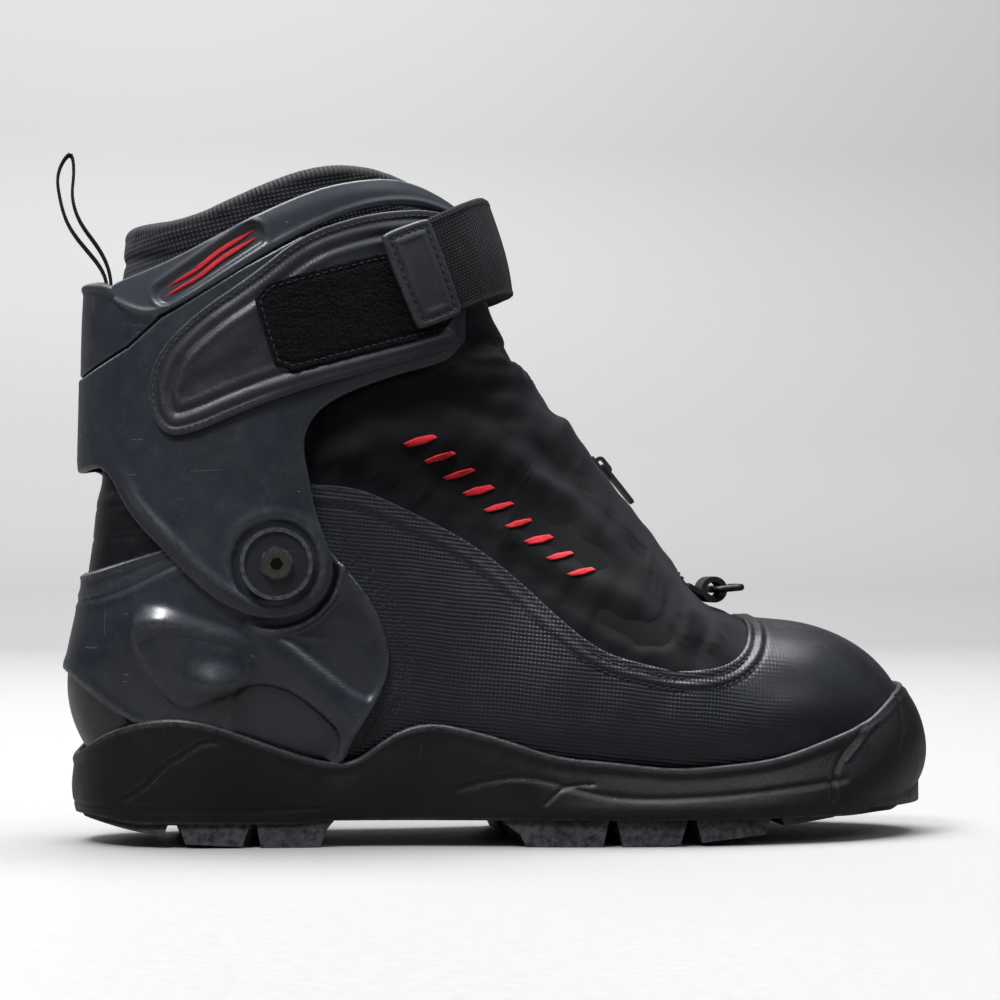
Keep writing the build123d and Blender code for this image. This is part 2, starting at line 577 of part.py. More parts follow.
LOOP_PATCH = [(-8.1, 177.6), (32.1, 189.1), (54.0, 194.0), (58.5, 165.5), (40, 160.5), (0.5, 149.9)]
save(one_side_layer(PATCH_OUT, PATCH_IN, LOOP_PATCH, -10, LATERAL), "loop_patch")

STRAP_ANCHOR = [(8, 182), (34, 192), (46, 196), (54, 170), (42, 165), (16, 155)]
save(one_side_layer(PATCH_OUT, PATCH_IN, STRAP_ANCHOR, 10, MEDIAL), "strap_anchor")

cuff_panel("badges", 0.5, -0.1,
           [(-34.5, 173.6), (-33.5, 171.9), (-30.8, 172.6), (-10.5, 188.0), (-4.5, 193.6),
            (-4.2, 195.8), (-7.5, 195.0), (-27, 181.2)], first=4)

last_panel("collar_padding", COLLAR_OUT, COLLAR_IN, UPPER_SHAFT,
           [(-75, 126), (-30, 128), (0, 131), (30, 141), (52, 152), (54, 221.5), (45, 223.5),
            (29, 224.5), (11, 221.6), (-9, 213), (-29, 202.5), (-43, 200), (-75, 199)])

last_panel("cover_gusset", 0.0, -COVER_T, SHAFT,
           [(55, 152.5), (77, 163.5), (90, 166), (90, 203), (66, 206), (55, 206)])

last_panel("tongue_top", -2.4, -8.4, SHAFT,
           [(55, 155), (77, 167), (90, 169), (90, 214), (64, 217), (55, 219)])

# Pull loop: a flat webbing teardrop between the collar and the spine.
LOOP_WIDTH = 12
LOOP_OUTSIDE = [(-52.6, 176.5), (-52.0, 184.0), (-57.0, 192.0), (-65.0, 201.5), (-68.6, 212.0),
                (-67.6, 221.5), (-64.0, 226.2), (-60.8, 222.5), (-61.6, 212.0), (-60.0, 205.0),
                (-53.8, 195.5), (-50.2, 186.0), (-50.0, 176.5)]
LOOP_HOLLOW = [(-52.1, 187.2), (-57.6, 194.2), (-64.6, 203.4), (-67.1, 212.6), (-66.2, 220.6),
               (-64.0, 224.2), (-62.6, 221.0), (-63.2, 211.8), (-61.2, 203.8), (-55.2, 194.4)]
with BuildPart() as pull_loop:
    with BuildSketch(Plane.XZ.offset(-LOOP_WIDTH / 2)) as loop_side:
        with BuildLine():
            loop_edge = Spline(*LOOP_OUTSIDE)
            Line(loop_edge @ 1, loop_edge @ 0)
        make_face()
        with BuildLine(mode=Mode.PRIVATE) as hollow:
            Spline(*LOOP_HOLLOW, periodic=True)
        add(make_face(hollow.line, mode=Mode.PRIVATE), mode=Mode.SUBTRACT)
    extrude(amount=LOOP_WIDTH)
save(pull_loop.part, "pull_loop")

# ================================================================ STRAP
# The webbing is two halves, joined at the middle of the front; the medial one reaches further back.
STRAP_LATERAL = [(62.6, 208.4), (70, 211.0), (100, 212.0), (100, 179.0), (82, 179.6), (74.5, 177.6)]
STRAP_MEDIAL = [(33, 192.8), (62.6, 207.2), (70, 211.0), (100, 212.0), (100, 179.0), (82, 179.6),
                (72, 176.4), (44, 165.2)]
lateral_webbing = one_side_layer(STRAP_OUT, STRAP_IN, STRAP_LATERAL, 0, LATERAL)
medial_webbing = one_side_layer(STRAP_OUT, STRAP_IN, STRAP_MEDIAL, 0, MEDIAL)
with BuildPart() as strap_webbing:
    add(lateral_webbing)
    add(medial_webbing)
save(strap_webbing.part, "strap_webbing")

# Lateral strap pieces: name, outer offset, inner offset, side-view outline
STRAP_PIECES = [
    ("strap_end", STRAP_OUT, STRAP_IN,
     [(34.5, 194.2), (60.0, 206.8), (72.2, 176.2), (46.0, 166.2)]),
    ("strap_tab", TAB_OUT, STRAP_OUT + 0.1,
     [(33.4, 193.8), (49.0, 200.4), (60.6, 171.0), (45.4, 165.0)]),
    ("hook_pad", STRAP_IN - 0.1, PATCH_OUT + 0.2,
     [(36.2, 192.9), (53.0, 199.6), (63.6, 173.6), (46.4, 168.0)]),
]
for name, outer, inner, outline in STRAP_PIECES:
    save(one_side_layer(outer, inner, outline, -10, LATERAL), name)


# ================================================================ ANKLE PIVOTS
# One of each on both sides: side is -1 for lateral and 1 for medial, y is the distance outwards.
def pivot_plane(side, y):
    """A plane across the pivot axis, facing outwards."""
    return Plane(origin=(PIVOT_X, side * y, PIVOT_Z), x_dir=(1, 0, 0), z_dir=(0, side, 0))


def pivot_face(side, y, radius, hole_radius=BOLT_HOLE_R):
    with BuildSketch(pivot_plane(side, y)) as face:
        Circle(radius)
        if hole_radius:
            Circle(hole_radius, mode=Mode.SUBTRACT)
    return face.sketch


with BuildPart() as pivot_bushes:
    for side in (-1, 1):
        extrude(pivot_face(side, BUSH_Y, BUSH_R), amount=CUFF_Y + 0.35 - BUSH_Y)
save(pivot_bushes.part, "pivot_bushes")

with BuildPart() as pivot_nuts:
    for side, nut_y in ((-1, 39.0), (1, 38.2)):
        extrude(pivot_face(side, nut_y, 8.6), amount=1.1)
save(pivot_nuts.part, "pivot_nuts")

with BuildPart() as pivot_discs:
    for side in (-1, 1):
        extrude(pivot_face(side, CUFF_Y + 0.4, DISC_R), amount=1.8)
        # sunken ring in the outer face
        extrude(pivot_face(side, CUFF_Y + 1.3, DISC_R - 1.4, 5.2), amount=2.0, mode=Mode.SUBTRACT)
save(pivot_discs.part, "pivot_discs")

with BuildPart() as pivot_bolts:
    for side in (-1, 1):
        extrude(pivot_face(side, BOLT_Y, BOLT_R, hole_radius=0), amount=HEAD_Y - BOLT_Y)
        extrude(pivot_face(side, HEAD_Y, 4.6, hole_radius=0), amount=1.2)
        with BuildSketch(pivot_plane(side, CUFF_Y + 0.9)) as socket:
            RegularPolygon(2.1, 6)
        extrude(amount=4, mode=Mode.SUBTRACT)
save(pivot_bolts.part, "pivot_bolts")
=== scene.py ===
"""A boot with a hinged cuff: detailed skins over its CAD pieces, with looks, floor and lights.

The toe points to +X, the lateral side is -Y, the medial side +Y, and +Z is up. Tables and
helpers work in millimetres; new_mesh turns them into metres. Surface coordinates are "run"
(along the foot, or up the cuff) and "turn" (around it).
"""
import math

import bpy
import bmesh
import numpy as np
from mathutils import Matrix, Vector


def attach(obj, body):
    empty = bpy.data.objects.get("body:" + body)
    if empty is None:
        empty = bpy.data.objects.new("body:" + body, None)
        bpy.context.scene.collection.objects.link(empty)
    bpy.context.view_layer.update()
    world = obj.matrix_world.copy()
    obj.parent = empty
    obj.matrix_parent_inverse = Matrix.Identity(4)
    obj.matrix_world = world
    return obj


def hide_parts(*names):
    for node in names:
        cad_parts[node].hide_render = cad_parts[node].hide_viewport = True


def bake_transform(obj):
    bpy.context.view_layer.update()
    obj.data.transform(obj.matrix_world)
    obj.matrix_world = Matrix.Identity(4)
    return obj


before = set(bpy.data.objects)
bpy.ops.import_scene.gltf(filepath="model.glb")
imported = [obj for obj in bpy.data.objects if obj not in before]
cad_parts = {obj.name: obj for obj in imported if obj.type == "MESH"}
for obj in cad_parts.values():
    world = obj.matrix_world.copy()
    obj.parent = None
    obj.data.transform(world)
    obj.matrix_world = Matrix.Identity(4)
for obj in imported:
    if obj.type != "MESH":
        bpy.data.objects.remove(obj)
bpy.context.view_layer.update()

MM = 0.001
DETAIL = 1.0
LATERAL, MEDIAL = -1, 1
PIVOT_X, PIVOT_Z = 0.0, 90.5
CUFF_UV_RADIUS = 60.0

# Foot sections, toe to collar: bottom x, z, top x, z, height fraction of the widest level,
# lateral and medial half width, centre y, exponents of the lower and upper half.
LAST_ROWS = np.array([
    (218.5, 24, 219.5, 38, 0.50, 7, 7, 8, 2.0, 2.0),
    (216.0, 20, 216.5, 46, 0.45, 17, 17, 8, 2.2, 2.0),
    (208.0, 17, 209.5, 56.5, 0.40, 26, 26, 7.5, 2.6, 2.0),
    (195.0, 16, 196.5, 65.5, 0.36, 35, 34, 5.5, 3.0, 2.0),
    (178.0, 16, 179.0, 70.8, 0.33, 42, 40, 3.5, 3.2, 2.1),
    (158.0, 16, 159.5, 73.0, 0.32, 46, 44, 2, 3.2, 2.1),
    (135.0, 16, 141.0, 81.5, 0.31, 48.5, 46, 0, 3.2, 2.0),
    (108.0, 16, 126.5, 98.5, 0.31, 48, 44.5, 0, 3.2, 1.9),
    (78.0, 16, 113.0, 115.0, 0.32, 45, 40.5, 0, 3.2, 1.9),
    (48.0, 16, 103.5, 127.5, 0.34, 41.5, 37.5, 0, 3.2, 1.9),
    (18.0, 16, 96.5, 137.0, 0.38, 40, 38, 0, 3.3, 2.0),
    (-15.0, 16, 91.0, 146.0, 0.42, 40, 39, 0, 3.4, 2.0),
    (-42.0, 18, 86.0, 154.0, 0.46, 40.5, 39.5, 0, 3.0, 2.1),
    (-57.0, 30, 82.0, 161.0, 0.48, 40.8, 40, 0, 2.6, 2.1),
    (-64.0, 50, 78.5, 168.0, 0.48, 41, 40.5, 0, 2.4, 2.1),
    (-60.5, 74, 75.0, 175.0, 0.48, 41, 40.5, 0, 2.3, 2.1),
    (-56.6, 97, 72.0, 182.0, 0.47, 41.5, 41, 0, 2.3, 2.1),
    (-54.6, 120, 70.0, 190.0, 0.47, 42, 41.5, 0, 2.3, 2.1),
    (-52.8, 145, 68.0, 199.0, 0.47, 42.5, 42, 0, 2.2, 2.1),
    (-50.4, 168, 65.5, 207.0, 0.47, 43, 42.5, 0, 2.2, 2.1),
    (-47.8, 188, 62.5, 214.5, 0.47, 43, 42.5, 0, 2.2, 2.1),
    (-46.0, 212, 58.5, 230.0, 0.47, 42.5, 42, 0, 2.2, 2.1),
], float)
# Cuff sections: z, rear x, front x, half width, exponent.
CUFF_ROWS = np.array([
    (60, -59.0, 60.0, 46.8, 2.35), (80, -61.0, 62.0, 47.8, 2.35),
    (100, -61.9, 66.0, 48.0, 2.35), (125, -61.8, 72.0, 47.8, 2.3),
    (150, -61.3, 75.5, 47.4, 2.25), (170, -60.9, 76.5, 47.0, 2.2),
    (190, -59.5, 74.5, 46.5, 2.15), (205, -57.5, 70.0, 46.0, 2.1),
    (222, -54.5, 63.5, 45.0, 2.1)], float)

# ---------------------------------------------------------------- curves and the base surfaces


def spline(knots, values):
    """Natural cubic spline through the rows of values."""
    count = len(knots)
    gap = np.diff(knots)
    matrix = np.zeros((count, count))
    right = np.zeros_like(values)
    matrix[0, 0] = matrix[-1, -1] = 1
    for i in range(1, count - 1):
        matrix[i, i - 1:i + 2] = gap[i - 1], 2 * (gap[i - 1] + gap[i]), gap[i]
        slopes = (values[i + 1] - values[i]) / gap[i], (values[i] - values[i - 1]) / gap[i - 1]
        right[i] = 6 * (slopes[0] - slopes[1])
    bend = np.linalg.solve(matrix, right)

    def at(place):
        place = np.clip(np.asarray(place, float), knots[0], knots[-1])
        k = np.clip(np.searchsorted(knots, place, side="right") - 1, 0, count - 2)
        ahead = (knots[k + 1] - place)[..., None]
        past = (place - knots[k])[..., None]
        width = gap[k][..., None]
        return ((bend[k] * ahead ** 3 + bend[k + 1] * past ** 3) / (6 * width)
                + (values[k] / width - bend[k] * width / 6) * ahead
                + (values[k + 1] / width - bend[k + 1] * width / 6) * past)
    return at


def running_length(points):
    steps = np.linalg.norm(np.diff(points, axis=0), axis=1)
    return np.concatenate([[0], np.cumsum(steps)])


def rows_at(place, knots, rows):
    """Linear interpolation of every column of rows."""
    return np.stack([np.interp(place, knots, column) for column in rows.T], -1)


def cell(place, count):
    """Index and fraction of a place in a table of count entries."""
    place = np.clip(place, 0, count - 1.0001)
    index = place.astype(int)
    return index, place - index


def bilinear(table, i, j, part_i, part_j):
    near = table[i, j] * (1 - part_i) + table[i + 1, j] * part_i
    far = table[i, j + 1] * (1 - part_i) + table[i + 1, j + 1] * part_i
    return near * (1 - part_j) + far * part_j


def signed_power(value, exponent):
    return np.sign(value) * np.abs(value) ** (2.0 / exponent)


def bulge(part, exponent):
    """Height of a superellipse at a part of its half axis."""
    return (1 - part ** exponent) ** (1 / exponent)


class Last:
    """The foot. Run is the station from toe to collar; turn goes from 0 at the top
    to -1 at the bottom by the lateral side, and to 1 by the medial side."""

    def __init__(self):
        bottom, top = LAST_ROWS[:, 0:2], LAST_ROWS[:, 2:4]
        steps = sum(np.linalg.norm(np.diff(bottom * (1 - part) + top * part, axis=0), axis=1)
                    for part in (0.1, 0.5, 0.9)) / 3
        self.knots = np.concatenate([[0], np.cumsum(steps)])
        self.end = self.knots[-1]
        self.section = spline(self.knots, LAST_ROWS)
        self.stations = np.linspace(0, self.end, 221)
        self.rows = self.section(self.stations)
        angle = np.linspace(math.pi / 2, -math.pi / 2, 321)
        share = np.linspace(0, 1, 97)
        self.table, self.length = {}, {}
        for side in (LATERAL, MEDIAL):
            pos = self.place(self.rows[:, None, :], angle[None, :], side, 0.0)
            lengths = np.array([running_length(ring) for ring in pos])
            self.length[side] = lengths[:, -1]
            self.table[side] = np.array([np.interp(share * ring[-1], ring, angle)
                                         for ring in lengths])
        self.share_count = len(share)

    @staticmethod
    def quadrant(rows, height, low, side, off):
        """Half height, half width and exponent where low and side say."""
        middle = rows[..., 4]
        half_height = np.where(low, middle * height, (1 - middle) * height) + off
        half_width = np.where(side < 0, rows[..., 5], rows[..., 6]) + off
        return half_height, half_width, np.where(low, rows[..., 8], rows[..., 9])

    @classmethod
    def place(cls, rows, angle, side, off):
        base_x, base_z, top_x, top_z, middle = (rows[..., i] for i in range(5))
        height = np.hypot(top_x - base_x, top_z - base_z)
        half_height, half_width, power = cls.quadrant(rows, height, angle < 0, side, off)
        across = side * half_width * signed_power(np.maximum(np.cos(angle), 0), power)
        climb = middle * height + half_height * signed_power(np.sin(angle), power)
        return np.stack([base_x + (top_x - base_x) / height * climb, rows[..., 7] + across,
                         base_z + (top_z - base_z) / height * climb], -1)

    def xyz(self, run, turn, off):
        run, turn = np.broadcast_arrays(np.asarray(run, float), np.asarray(turn, float))
        count = len(self.stations)
        i, part_i = cell(run / self.end * (count - 1), count)
        j, part_j = cell(np.abs(turn) * (self.share_count - 1), self.share_count)
        angle = np.where(turn < 0, bilinear(self.table[LATERAL], i, j, part_i, part_j),
                         bilinear(self.table[MEDIAL], i, j, part_i, part_j))
        return self.place(self.section(run), angle, np.where(turn < 0, -1, 1), off)

    def uv(self, run, turn):
        lengths = (np.interp(run, self.stations, self.length[s]) for s in (LATERAL, MEDIAL))
        return np.stack([run, turn * np.where(turn < 0, *lengths)], -1)

    def station(self, x, z):
        """Run of the section plane through side-view points."""
        bottom, top = self.rows[:, 0:2], self.rows[:, 2:4]
        lean = (top - bottom) / np.linalg.norm(top - bottom, axis=1)[:, None]
        # positive in front of the plane; it falls from the toe on
        ahead = ((x[:, None] - bottom[None, :, 0]) * lean[None, :, 1]
                 - (z[:, None] - bottom[None, :, 1]) * lean[None, :, 0])
        front = ahead > 0
        hit = np.argmax(front[:, :-1] != front[:, 1:], axis=1)
        row = np.arange(len(x))
        here, beyond = ahead[row, hit], ahead[row, hit + 1]
        part = np.where(here != beyond, here / (here - beyond + 1e-12), 0)
        pitch = self.stations[1] - self.stations[0]
        return self.stations[hit] + np.clip(part, 0, 1) * pitch

    def project(self, x, z):
        """Section rows, section height and climb above the widest level."""
        rows = self.section(self.station(x, z))
        base_x, base_z, top_x, top_z, middle = (rows[:, i] for i in range(5))
        height = np.hypot(top_x - base_x, top_z - base_z)
        climb = ((x - base_x) * (top_x - base_x) + (z - base_z) * (top_z - base_z)) / height
        return rows, height, climb - middle * height

    def side(self, x, z, side, off):
        """Surface points seen from the side at (x, z)."""
        rows, height, climb = self.project(x, z)
        half_height, half_width, power = self.quadrant(rows, height, climb < 0, side, off)
        part = np.clip(np.abs(climb) / half_height, 0, 1)
        return np.stack([x, rows[:, 7] + side * half_width * bulge(part, power), z], -1)

    def outside(self, x, y, z):
        """Positive outside the foot."""
        rows, height, climb = self.project(x, z)
        across = y - rows[:, 7]
        half_height, half_width, power = self.quadrant(rows, height, climb < 0, across, 0.0)
        # ahead of the first station everything is outside
        at_toe = self.station(x, z) <= self.stations[0] + 1e-6
        gap = np.maximum(0, x - (rows[:, 0] + (rows[:, 2] - rows[:, 0]) * 0.5)) * at_toe
        return ((np.abs(climb) / half_height) ** power
                + (np.abs(across) / half_width) ** power - 1 + gap)


class Cuff:
    """The shaft. Run is the height, turn the angle, 0 at the front, negative laterally."""

    def __init__(self):
        self.section = spline(CUFF_ROWS[:, 0], CUFF_ROWS)

    def axes(self, height, off):
        """Centre x, half length, half width and exponent."""
        _, rear, front, half_width, power = np.moveaxis(self.section(height), -1, 0)
        return (rear + front) / 2, (front - rear) / 2 + off, half_width + off, power

    def xyz(self, run, turn, off):
        run, turn = np.broadcast_arrays(np.asarray(run, float), np.asarray(turn, float))
        centre, half_length, half_width, power = self.axes(run, off)
        return np.stack([centre + half_length * signed_power(np.cos(turn), power),
                         half_width * signed_power(np.sin(turn), power), run], -1)

    def uv(self, run, turn):
        return np.stack([run, turn * CUFF_UV_RADIUS], -1)

    def side(self, x, z, side, off):
        centre, half_length, half_width, power = self.axes(z, off)
        part = np.clip(np.abs(x - centre) / half_length, 0, 1)
        return np.stack([x, side * half_width * bulge(part, power), z], -1)


class Underside:
    """A level plane facing down. Run is x, turn is y; offsets go down from its height."""

    height = 20.0

    def xyz(self, run, turn, off):
        run, turn = np.broadcast_arrays(np.asarray(run, float), np.asarray(turn, float))
        level = np.zeros(run.shape) + (self.height - np.asarray(off, float))
        return np.stack([run, turn, level], -1)

    def uv(self, run, turn):
        return np.stack([run, turn], -1)


foot, shaft = Last(), Cuff()

# ---------------------------------------------------------------- outlines and distances


def rounded(points, rounds=2):
    """Closed outline with its corners cut, round after round."""
    points = np.array(points, float)
    for _ in range(rounds):
        following = np.roll(points, -1, axis=0)
        cuts = [points * 0.75 + following * 0.25, points * 0.25 + following * 0.75]
        points = np.stack(cuts, 1).reshape(-1, points.shape[1])
    return points


def smooth_line(points, count):
    """Spline through the points, resampled evenly."""
    points = np.array(points, float)
    knots = running_length(points)
    dense = spline(knots, points)(np.linspace(0, knots[-1], 600))
    length = running_length(dense)
    return rows_at(np.linspace(0, length[-1], count), length, dense)


def poly_dist(x, z, poly, closed):
    """Distance to a polyline, and whether each point is inside it."""
    starts = poly if closed else poly[:-1]
    ends = np.roll(poly, -1, axis=0) if closed else poly[1:]
    best = np.full(x.shape, 1e18)
    inside = np.zeros(x.shape, bool)
    for (x0, z0), (x1, z1) in zip(starts, ends):
        dx, dz = x1 - x0, z1 - z0
        square = dx * dx + dz * dz
        if square < 1e-12:
            continue
        part = np.clip(((x - x0) * dx + (z - z0) * dz) / square, 0, 1)
        best = np.minimum(best, (x - x0 - part * dx) ** 2 + (z - z0 - part * dz) ** 2)
        if closed:
            level = (z0 > z) != (z1 > z)
            inside ^= level & (x < x0 + (z - z0) * dx / (dz if dz else 1e-12))
    return np.sqrt(best), inside


def signed_dist(x, z, poly):
    dist, inside = poly_dist(x, z, poly, True)
    return np.where(inside, -dist, dist)


def area(poly):
    """Field of the signed distance to a closed side-view outline, negative inside."""
    poly = np.asarray(poly, float)
    return lambda pos: signed_dist(pos[..., 0], pos[..., 2], poly)


def line(poly):
    """Field of the distance to an open side-view polyline."""
    poly = np.asarray(poly, float)
    return lambda pos: poly_dist(pos[..., 0], pos[..., 2], poly, False)[0]


def curve(points, count=50):
    return line(smooth_line(points, count))


def bell(dist, width):
    return np.exp(-(dist / width) ** 2)


def ridges(dist, *rows):
    """Sum of rounded ridges, each given as (place, width, height)."""
    return sum(height * bell(dist - place, width) for place, width, height in rows)


def step(dist, width):
    """0 below -width, 1 above width, smooth between."""
    part = np.clip((dist + width) / (2 * width), 0, 1)
    return part * part * (3 - 2 * part)


def even(low, high, count):
    return np.linspace(low, high, int(count * DETAIL))


# ---------------------------------------------------------------- meshes
def new_mesh(name, points, faces, uvs=None):
    """Smooth object from millimetre points; uvs hold one pair per face corner."""
    mesh = bpy.data.meshes.new(name)
    mesh.from_pydata([tuple(point) for point in np.asarray(points) * MM], [],
                     [tuple(int(i) for i in face) for face in faces])
    if uvs is not None:
        layer = mesh.uv_layers.new(name="UVMap")
        layer.data.foreach_set("uv", np.asarray(uvs, np.float32).ravel())
    mesh.update()
    mesh.polygons.foreach_set("use_smooth", [True] * len(mesh.polygons))
    obj = bpy.data.objects.new(name, mesh)
    bpy.context.scene.collection.objects.link(obj)
    return obj


def face_outwards(obj):
    mesh = bmesh.new()
    mesh.from_mesh(obj.data)
    bmesh.ops.recalc_face_normals(mesh, faces=mesh.faces)
    mesh.to_mesh(obj.data)
    mesh.free()


def tube_faces(rings, around, first=0, closed=False):
    """Faces between rings of points, with end caps, or back to the first ring if closed."""
    faces = []
    for i in range(rings if closed else rings - 1):
        here, there = first + i * around, first + (i + 1) % rings * around
        for j in range(around):
            k = (j + 1) % around
            faces.append((here + j, here + k, there + k, there + j))
    if not closed:
        faces.append(tuple(first + j for j in range(around - 1, -1, -1)))
        faces.append(tuple(first + (rings - 1) * around + j for j in range(around)))
    return faces


def trim(run, turn, outside, wrap):
    """Cuts a grid where outside(run, turn) is zero and keeps the negative part.

    Returns run and turn of the points, and the faces. With wrap the last column of the
    grid is the first one again.
    """
    dist = outside(run, turn)
    dist = np.where(np.abs(dist) < 1e-7, -1e-7, dist)
    keep = dist < 0
    if wrap:
        keep[:, -1] = keep[:, 0]
    own = keep.copy()
    if wrap:
        own[:, -1] = False
    count = int(own.sum())
    corner = np.full(run.shape, -1)
    corner[own] = np.arange(count)
    runs, turns = [run[own]], [turn[own]]
    crossings = []
    ends = ((np.s_[:-1], np.s_[1:]), (np.s_[:, :-1], np.s_[:, 1:]))
    for axis, (first, second) in enumerate(ends):
        cut = keep[first] != keep[second]
        if wrap and axis == 0:
            cut[:, -1] = False
        crossing = np.full(cut.shape, -1)
        i, j = np.nonzero(cut)
        crossing[i, j] = count + np.arange(len(i))
        count += len(i)
        run0, turn0, dist0 = run[first][i, j], turn[first][i, j], dist[first][i, j]
        dist1 = dist[second][i, j]
        run_step, turn_step = run[second][i, j] - run0, turn[second][i, j] - turn0
        low, high = np.zeros(len(i)), np.ones(len(i))
        negative = dist0 < 0
        for _ in range(4):
            slope = np.where(dist0 == dist1, 1, dist0 - dist1)
            part = low + (high - low) * np.clip(dist0 / slope, 0.02, 0.98)
            found = outside(run0 + part * run_step, turn0 + part * turn_step)
            same = (found < 0) == negative
            low, dist0 = np.where(same, part, low), np.where(same, found, dist0)
            high, dist1 = np.where(same, high, part), np.where(same, dist1, found)
        part = np.clip(part, 0.04, 0.96)
        runs.append(run0 + part * run_step)
        turns.append(turn0 + part * turn_step)
        if wrap and axis == 0:
            crossing[:, -1] = crossing[:, 0]
        crossings.append(crossing)
    if wrap:
        corner[:, -1] = corner[:, 0]
    by_run, by_turn = crossings
    kept = keep[:-1, :-1].astype(int) + keep[1:, :-1] + keep[1:, 1:] + keep[:-1, 1:]
    i, j = np.nonzero(kept == 4)
    whole = [corner[i, j], corner[i + 1, j], corner[i + 1, j + 1], corner[i, j + 1]]
    faces = np.stack(whole, -1).tolist()
    for i, j in zip(*np.nonzero((kept > 0) & (kept < 4))):
        face = []
        for spot, crossing in (((i, j), by_run[i, j]), ((i + 1, j), by_turn[i + 1, j]),
                               ((i + 1, j + 1), by_run[i, j + 1]),
                               ((i, j + 1), by_turn[i, j])):
            if keep[spot]:
                face.append(corner[spot])
            if crossing >= 0:
                face.append(crossing)
        face = [point for k, point in enumerate(face) if point != face[k - 1]]
        if len(face) > 2:
            faces.append(face)
    return np.concatenate(runs), np.concatenate(turns), faces


def border_loops(faces):
    edges = {}
    for face in faces:
        for edge in zip(face, face[1:] + face[:1]):
            edges[edge] = True
    following = {}
    for start, end in edges:
        if (end, start) not in edges:
            following.setdefault(start, []).append(end)
    loops = []
    while following:
        start = current = next(iter(following))
        loop = [start]
        while True:
            choices = following.get(current)
            if not choices:
                break
            end = choices.pop()
            if not choices:
                del following[current]
            if end == start:
                break
            loop.append(end)
            current = end
        if len(loop) > 2:
            loops.append(loop)
    return loops


def panel(name, surface, runs, turns, field, layer, edge=0.8, relief=None, wrap=False,
          arc=4, half=None):
    """Closed shell piece on a surface, trimmed by a field, with a rolled edge.

    layer is the inner and outer offset, edge the roll's radius, arc its number of steps.
    relief(pos, dist, run, turn) raises the outer face. half = (sign, gap) keeps only
    points whose sign * y is above gap.
    """
    inner, outer = layer

    def outside(run, turn):
        pos = surface.xyz(run, turn, outer)
        dist = field(pos)
        if half is not None:
            sign, gap = half
            dist = np.maximum(dist, -pos[..., 1] * sign + gap)
        return dist + edge

    run, turn, faces = trim(*np.meshgrid(runs, turns, indexing="ij"), outside, wrap)
    used = np.zeros(len(run), bool)
    used[np.concatenate(faces)] = True
    renumber = np.cumsum(used) - 1
    run, turn = run[used], turn[used]
    faces = [renumber[face].tolist() for face in faces]
    off = np.zeros(len(run)) + outer
    if relief is not None:
        dist = outside(run, turn) - edge
        off = off + relief(surface.xyz(run, turn, outer), dist, run, turn)
    front = surface.xyz(run, turn, off)
    normal = surface.xyz(run, turn, off + 0.25) - surface.xyz(run, turn, off - 0.25)
    normal /= np.linalg.norm(normal, axis=1)[:, None] + 1e-12
    back = surface.xyz(run, turn, np.zeros(len(run)) + inner)
    first, second, third = faces[len(faces) // 2][:3]
    winding = np.cross(front[second] - front[first], front[third] - front[first])
    if winding @ normal[first] < 0:
        faces = [face[::-1] for face in faces]
    count = len(run)
    points = [front, back]
    point_uvs = [surface.uv(run, turn)] * 2
    all_faces = faces + [[k + count for k in face[::-1]] for face in faces]
    total = 2 * count
    for loop in border_loops(faces):
        loop = np.array(loop)
        rim, rim_normal = front[loop], normal[loop]
        reach = 3 if len(loop) > 40 else 1
        tangent = np.roll(rim, -reach, axis=0) - np.roll(rim, reach, axis=0)
        out = np.cross(tangent, rim_normal)
        length = np.linalg.norm(out, axis=1)[:, None]
        out = np.where(length > 1e-6, out / (length + 1e-12), 0)
        thickness = np.linalg.norm(rim - back[loop], axis=1)
        drop = np.minimum(edge, thickness * 0.6)[:, None]
        new_rings = []
        for k in range(1, arc + 1):
            angle = math.pi / 2 * k / arc
            new_rings.append(rim + out * edge * math.sin(angle)
                             - rim_normal * drop * (1 - math.cos(angle)))
        new_rings.append(back[loop] + out * edge)
        rings = [loop]
        for ring in new_rings:
            points.append(ring)
            point_uvs.append(surface.uv(run[loop], turn[loop]))
            rings.append(total + np.arange(len(loop)))
            total += len(loop)
        rings.append(loop + count)
        for here, there in zip(rings, rings[1:]):
            quads = [np.roll(here, -1), here, there, np.roll(there, -1)]
            all_faces += np.stack(quads, -1).tolist()
    point_uvs = np.concatenate(point_uvs)
    uvs = []
    for face in all_faces:
        corners = point_uvs[face].copy()
        across = corners[:, 1]
        # a face over the seam of a wrapped piece gets its negative corners moved on
        if wrap and across.max() - across.min() > 60:
            corners[:, 1] = np.where(across < 0, across + 2 * abs(across).max(), across)
        uvs.append(corners)
    return new_mesh(name, np.concatenate(points), all_faces, np.concatenate(uvs))


